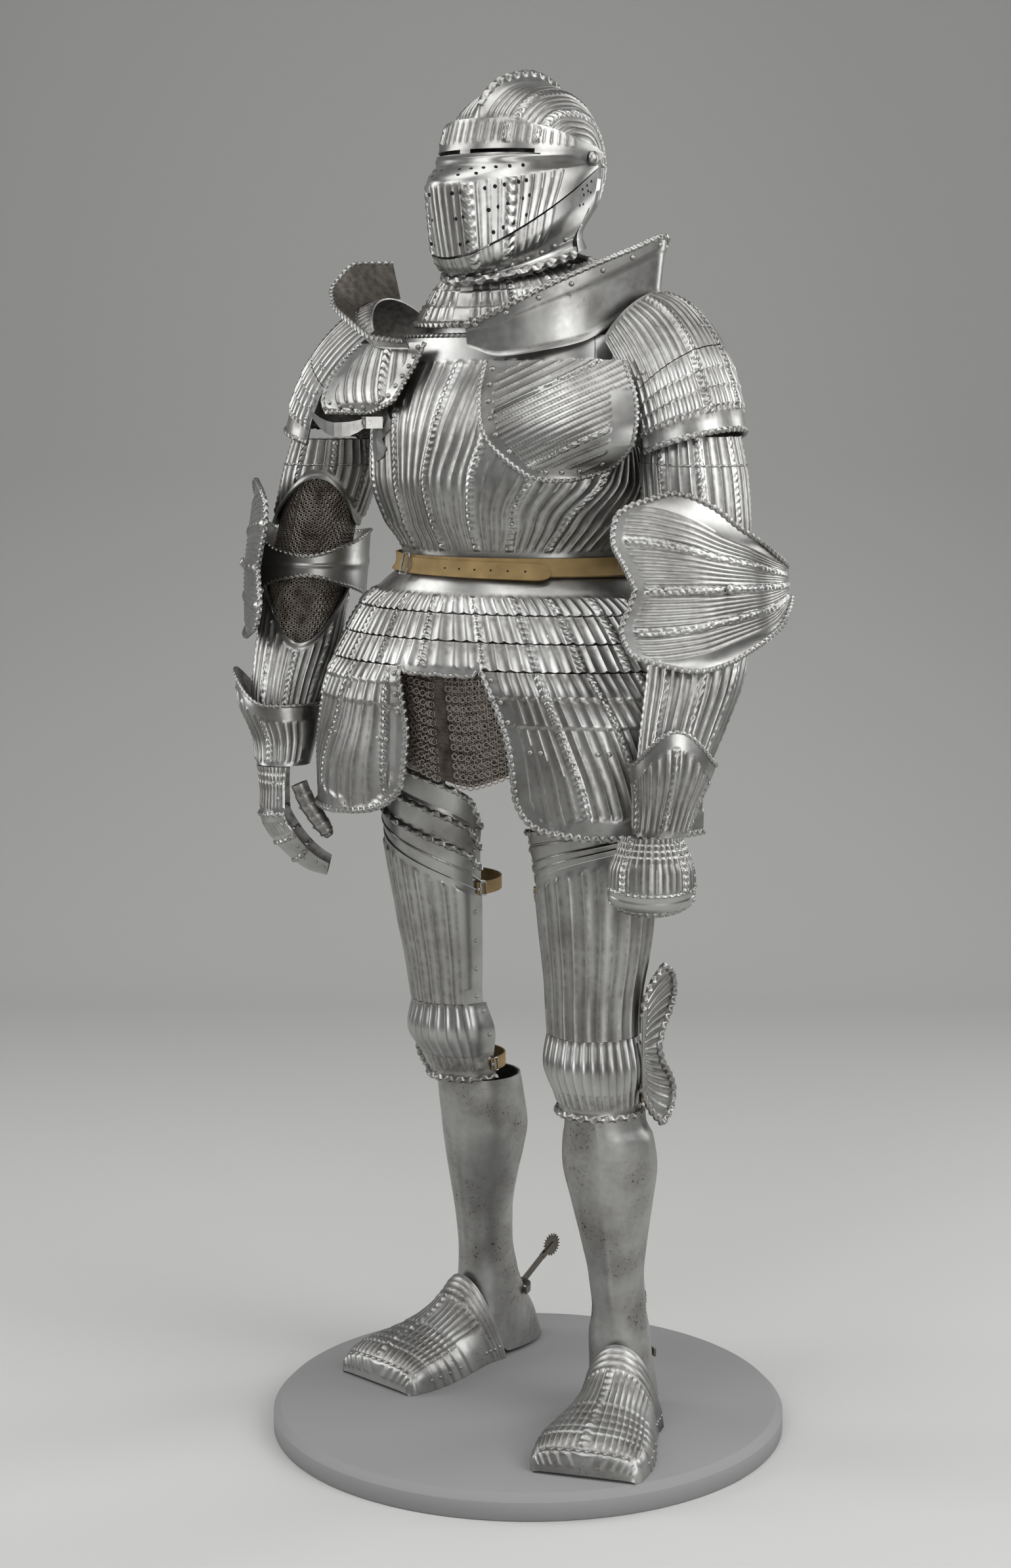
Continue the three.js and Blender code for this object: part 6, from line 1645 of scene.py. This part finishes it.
# ---------- fittings that keep their CAD shape ----------
def paint_fittings():
    """Spurs, rowels and the lance rest keep their CAD shape and get their materials."""
    m = materials()
    for name in ("spur_left", "spur_right", "rowel_left", "rowel_right"):
        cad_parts[name].material_slots[0].material = m["dark"]
    for name in ("lance_rest_bracket", "lance_rest_arm"):
        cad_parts[name].material_slots[0].material = m["steel"]


# ---------- stage ----------
CAMERA = {"azimuth": 34, "lens": 62.6, "sensor": 36.0, "across": -0.031, "away": 3.61, "up": 1.40,
        "pitch": 8.1}
BACKDROP = {"front": -6, "bend": 2.6, "radius": 1.4, "top": 7.0, "half": 9.0, "below": 0.0005}
# name, azimuth and elevation in degrees, distance, width and height in metres, power in watts
LAMPS = (
    ("lamp_key", 88, 34, 3.4, 2.0, 2.8, 62), ("lamp_front", 6, 38, 3.8, 2.2, 2.0, 40),
    ("lamp_right", 150, 18, 2.8, 0.9, 2.6, 26), ("lamp_left", -62, 22, 3.0, 1.4, 2.8, 40),
    ("lamp_low", 52, 4, 3.4, 1.6, 1.4, 22), ("lamp_top", 34, 84, 3.2, 2.6, 2.6, 44),
)
LAMP_AIM = 0.95   # height that the lamps face, m


def build_stage(sizes):
    """Floor: flat, then a quarter circle up into the wall, its paper darker higher up as painted shade. Area
    lamps face the figure's middle. Camera:
    CAMERA."""
    scene = bpy.context.scene
    floor = bpy.data.meshes.new("stage_floor")
    # a floor that curves up into a wall behind: x along, (y, z) from flat to upright
    t = np.linspace(0, 1, 33)
    bend = np.radians(90 * t)
    start_at, radius = BACKDROP["bend"], BACKDROP["radius"]
    depth = np.concatenate([[BACKDROP["front"], start_at], start_at + radius * np.sin(bend),
            [start_at + radius]])
    level = np.concatenate([[0, 0], radius * (1 - np.cos(bend)), [BACKDROP["top"]]]) - BACKDROP["below"]
    heading = math.radians(CAMERA["azimuth"])
    right = np.array([math.cos(heading), math.sin(heading), 0])
    back = np.array([-math.sin(heading), math.cos(heading), 0])
    s, k = grid([-BACKDROP["half"], BACKDROP["half"]], np.arange(len(depth)))
    k = k.astype(int)
    points = s[..., None] * right + depth[k][..., None] * back + level[k][..., None] * np.array([0, 0, 1.0])
    index = np.arange(points.shape[0] * 2).reshape(-1, 2)
    floor.from_pydata(points.reshape(-1, 3).tolist(), [], cells(index).tolist())
    floor.shade_smooth()
    backdrop = bpy.data.objects.new("stage_floor", floor)
    material, tree, shader = start("seamless paper, pale grey")
    place = node(tree, "ShaderNodeTexCoord").outputs["Object"]
    height = node(tree, "ShaderNodeSeparateXYZ", {0: place}).outputs[2]
    # painted shade: the paper runs from the floor grey to the darker wall grey as it rises, as light falls off
    # up the wall
    tree.links.new(blend_colour(tree, ramp(tree, height, 0.02, 1.2), tuple(sizes.floor_grey),
            tuple(sizes.wall_grey)), shader.inputs["Base Color"])
    shader.inputs["Roughness"].default_value = 0.9
    floor.materials.append(material)
    scene.collection.objects.link(backdrop)
    for name, azimuth, elevation, far, wide, tall, power in LAMPS:
        light = bpy.data.lights.new(name, "AREA")
        light.shape, light.size, light.size_y, light.energy = "RECTANGLE", wide, tall, power
        lamp = bpy.data.objects.new(name, light)
        az, el = math.radians(azimuth), math.radians(elevation)
        way = Vector((math.sin(az) * math.cos(el), -math.cos(az) * math.cos(el), math.sin(el)))
        lamp.matrix_world = Matrix.Translation(Vector((0, 0, LAMP_AIM)) + way * far) @ way.to_track_quat("Z",
                "Y").to_matrix().to_4x4()
        scene.collection.objects.link(lamp)
    world = bpy.data.worlds.new("studio")
    world.use_nodes = True
    world.node_tree.nodes["Background"].inputs[0].default_value = colour("#8d8d8d")
    world.node_tree.nodes["Background"].inputs[1].default_value = 0.55
    scene.world = world
    lens = bpy.data.cameras.new("camera")
    lens.lens, lens.sensor_width = CAMERA["lens"], CAMERA["sensor"]
    camera = bpy.data.objects.new("camera", lens)
    toward = Vector((math.sin(heading), -math.cos(heading), 0))
    across = Vector((math.cos(heading), math.sin(heading), 0))
    spot = across * CAMERA["across"] + toward * CAMERA["away"] + Vector((0, 0, CAMERA["up"]))
    pitch = math.radians(CAMERA["pitch"])
    look = toward * math.cos(pitch) + Vector((0, 0, 1)) * math.sin(pitch)
    camera.matrix_world = Matrix.Translation(spot) @ look.to_track_quat("Z", "Y").to_matrix().to_4x4()
    scene.collection.objects.link(camera)
    scene.camera = camera
    scene.view_settings.view_transform = "Standard"


# ---------- add-on ----------
def length(name, default, low, high, text):
    """A length property, in metres."""
    return bpy.props.FloatProperty(name=name, description=text, default=default, min=low, max=high,
            precision=4,
                                   subtype="DISTANCE", unit="LENGTH")


def tint(name, code, text):
    """A colour property from an sRGB hex value."""
    return bpy.props.FloatVectorProperty(name=name, description=text, default=colour(code), size=4, min=0,
            max=1,
                                         subtype="COLOR")


class ArmourSettings(bpy.types.PropertyGroup):
    """Sizes and colours of the armour and its stage"""

    plate_wall: length("Plate wall", 0.002, 0.001, 0.003, "Thickness of the steel plates")
    flute_depth: length("Flute depth", 0.0016, 0.0, 0.004, "Height of a flute's crest over its hollow")
    rib_width: length("Rib width", 0.0115, 0.004, 0.02, "Width of the notched ribs")
    rib_height: length("Rib height", 0.0034, 0.0, 0.006, "Height of the notched ribs")
    notch_pitch: length("Notch spacing", 0.0085, 0.004, 0.02, "Distance between the notches of a rib")
    rope_radius: length("Rope radius", 0.0036, 0.001, 0.01, "Radius of the roped edges")
    rope_pitch: length("Rope spacing", 0.009, 0.004, 0.03, "Distance between the strands of a roped edge")
    rivet_radius: length("Rivet radius", 0.0036, 0.001, 0.008, "Radius of the rivet heads")
    coarse_ring: length("Mail ring", 0.0092, 0.005, 0.02, "Outer diameter of the skirt's rings")
    fine_ring: length("Fine mail ring", 0.0075, 0.003, 0.02, "Outer diameter of the rings drawn as a pattern")
    steel_bright: tint("Steel", "#b4b4b2", "Colour of the polished crests")
    # the patina colour is also the colour that the painted shade darkens the steel towards
    steel_dull: tint("Patina", "#5c5853", "Colour of the hollows")
    leather: tint("Leather", "#9f8658", "Colour of the buff leather")
    plinth_grey: tint("Base paint", "#8f8f90", "Colour of the base")
    # floor and backdrop are one paper; the darker wall grey is painted shade
    floor_grey: tint("Floor", "#c6c6c4", "Colour of the floor")
    wall_grey: tint("Backdrop", "#b0b0ae", "Colour of the backdrop")


class ARMOUR_OT_base(bpy.types.Operator):
    """Builds the round painted base"""

    bl_idname = "armour.base"
    bl_label = "Base"

    def execute(self, context):
        build_base()
        return {"FINISHED"}


class ARMOUR_OT_trunk(bpy.types.Operator):
    """Builds the breastplate, the backplate and the gussets"""

    bl_idname = "armour.trunk"
    bl_label = "Breast and back"

    def execute(self, context):
        build_trunk()
        return {"FINISHED"}


class ARMOUR_OT_belt(bpy.types.Operator):
    """Builds the buff belt with its tongue and buckle"""

    bl_idname = "armour.belt"
    bl_label = "Belt"

    def execute(self, context):
        build_belt()
        return {"FINISHED"}


class ARMOUR_OT_skirt(bpy.types.Operator):
    """Builds the fauld and the culet"""

    bl_idname = "armour.skirt"
    bl_label = "Skirt of lames"

    def execute(self, context):
        build_skirt()
        return {"FINISHED"}


class ARMOUR_OT_mail(bpy.types.Operator):
    """Builds the mail skirt with its rings and the mail at the elbows"""

    bl_idname = "armour.mail"
    bl_label = "Mail"

    def execute(self, context):
        build_mail(context.scene.armour)
        return {"FINISHED"}


class ARMOUR_OT_tassets(bpy.types.Operator):
    """Builds both tassets"""

    bl_idname = "armour.tassets"
    bl_label = "Tassets"

    def execute(self, context):
        build_tassets()
        return {"FINISHED"}


class ARMOUR_OT_gorget(bpy.types.Operator):
    """Builds the gorget and its lowest lame"""

    bl_idname = "armour.gorget"
    bl_label = "Gorget"

    def execute(self, context):
        build_gorget()
        return {"FINISHED"}


class ARMOUR_OT_helmet(bpy.types.Operator):
    """Builds the skull, the visor, the bevor and the bosses of the pivots"""

    bl_idname = "armour.helmet"
    bl_label = "Helmet"

    def execute(self, context):
        build_helmet()
        return {"FINISHED"}


class ARMOUR_OT_shoulders(bpy.types.Operator):
    """Builds the pauldrons with their wings and haute-pieces"""

    bl_idname = "armour.shoulders"
    bl_label = "Shoulders"

    def execute(self, context):
        build_shoulders()
        return {"FINISHED"}


class ARMOUR_OT_arms(bpy.types.Operator):
    """Builds the cannons and the couters"""

    bl_idname = "armour.arms"
    bl_label = "Arms"

    def execute(self, context):
        build_arms()
        return {"FINISHED"}


class ARMOUR_OT_gauntlets(bpy.types.Operator):
    """Builds the mitten gauntlet and the fingered one"""

    bl_idname = "armour.gauntlets"
    bl_label = "Gauntlets"

    def execute(self, context):
        build_gauntlets()
        return {"FINISHED"}


class ARMOUR_OT_legs(bpy.types.Operator):
    """Builds the cuisses, poleyns, greaves and sabatons"""

    bl_idname = "armour.legs"
    bl_label = "Legs and feet"

    def execute(self, context):
        build_legs(context.scene.armour)
        return {"FINISHED"}


class ARMOUR_OT_fittings(bpy.types.Operator):
    """Gives the spurs and the lance rest their steel"""

    bl_idname = "armour.fittings"
    bl_label = "Fittings"

    def execute(self, context):
        paint_fittings()
        return {"FINISHED"}


class ARMOUR_OT_stage(bpy.types.Operator):
    """Builds the floor, the lights and the camera"""

    bl_idname = "armour.stage"
    bl_label = "Stage"

    def execute(self, context):
        build_stage(context.scene.armour)
        return {"FINISHED"}


OPERATORS = (
    ARMOUR_OT_base, ARMOUR_OT_trunk, ARMOUR_OT_belt, ARMOUR_OT_skirt, ARMOUR_OT_mail, ARMOUR_OT_tassets,
    ARMOUR_OT_gorget, ARMOUR_OT_helmet, ARMOUR_OT_shoulders, ARMOUR_OT_arms, ARMOUR_OT_gauntlets, ARMOUR_OT_legs,
    ARMOUR_OT_fittings, ARMOUR_OT_stage,
)


class ARMOUR_PT_panel(bpy.types.Panel):
    """Sizes, colours and the pieces of the armour"""

    bl_idname = "ARMOUR_PT_panel"
    bl_label = "Fluted field armour"
    bl_space_type = "VIEW_3D"
    bl_region_type = "UI"
    bl_category = "Armour"

    def draw(self, context):
        for name in ArmourSettings.__annotations__:
            self.layout.prop(context.scene.armour, name)
        for one in OPERATORS:
            self.layout.operator(one.bl_idname)


CLASSES = (ArmourSettings, *OPERATORS, ARMOUR_PT_panel)


def register():
    """Registers the classes and the settings."""
    for one in CLASSES:
        bpy.utils.register_class(one)
    bpy.types.Scene.armour = bpy.props.PointerProperty(type=ArmourSettings)


def unregister():
    """Removes what register() added."""
    del bpy.types.Scene.armour
    for one in reversed(CLASSES):
        bpy.utils.unregister_class(one)


def main():
    """Registers the add-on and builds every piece."""
    register()
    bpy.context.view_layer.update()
    for one in OPERATORS:
        name = one.bl_idname.split(".")[1]
        getattr(bpy.ops.armour, name)()


if __name__ == "__main__":
    main()
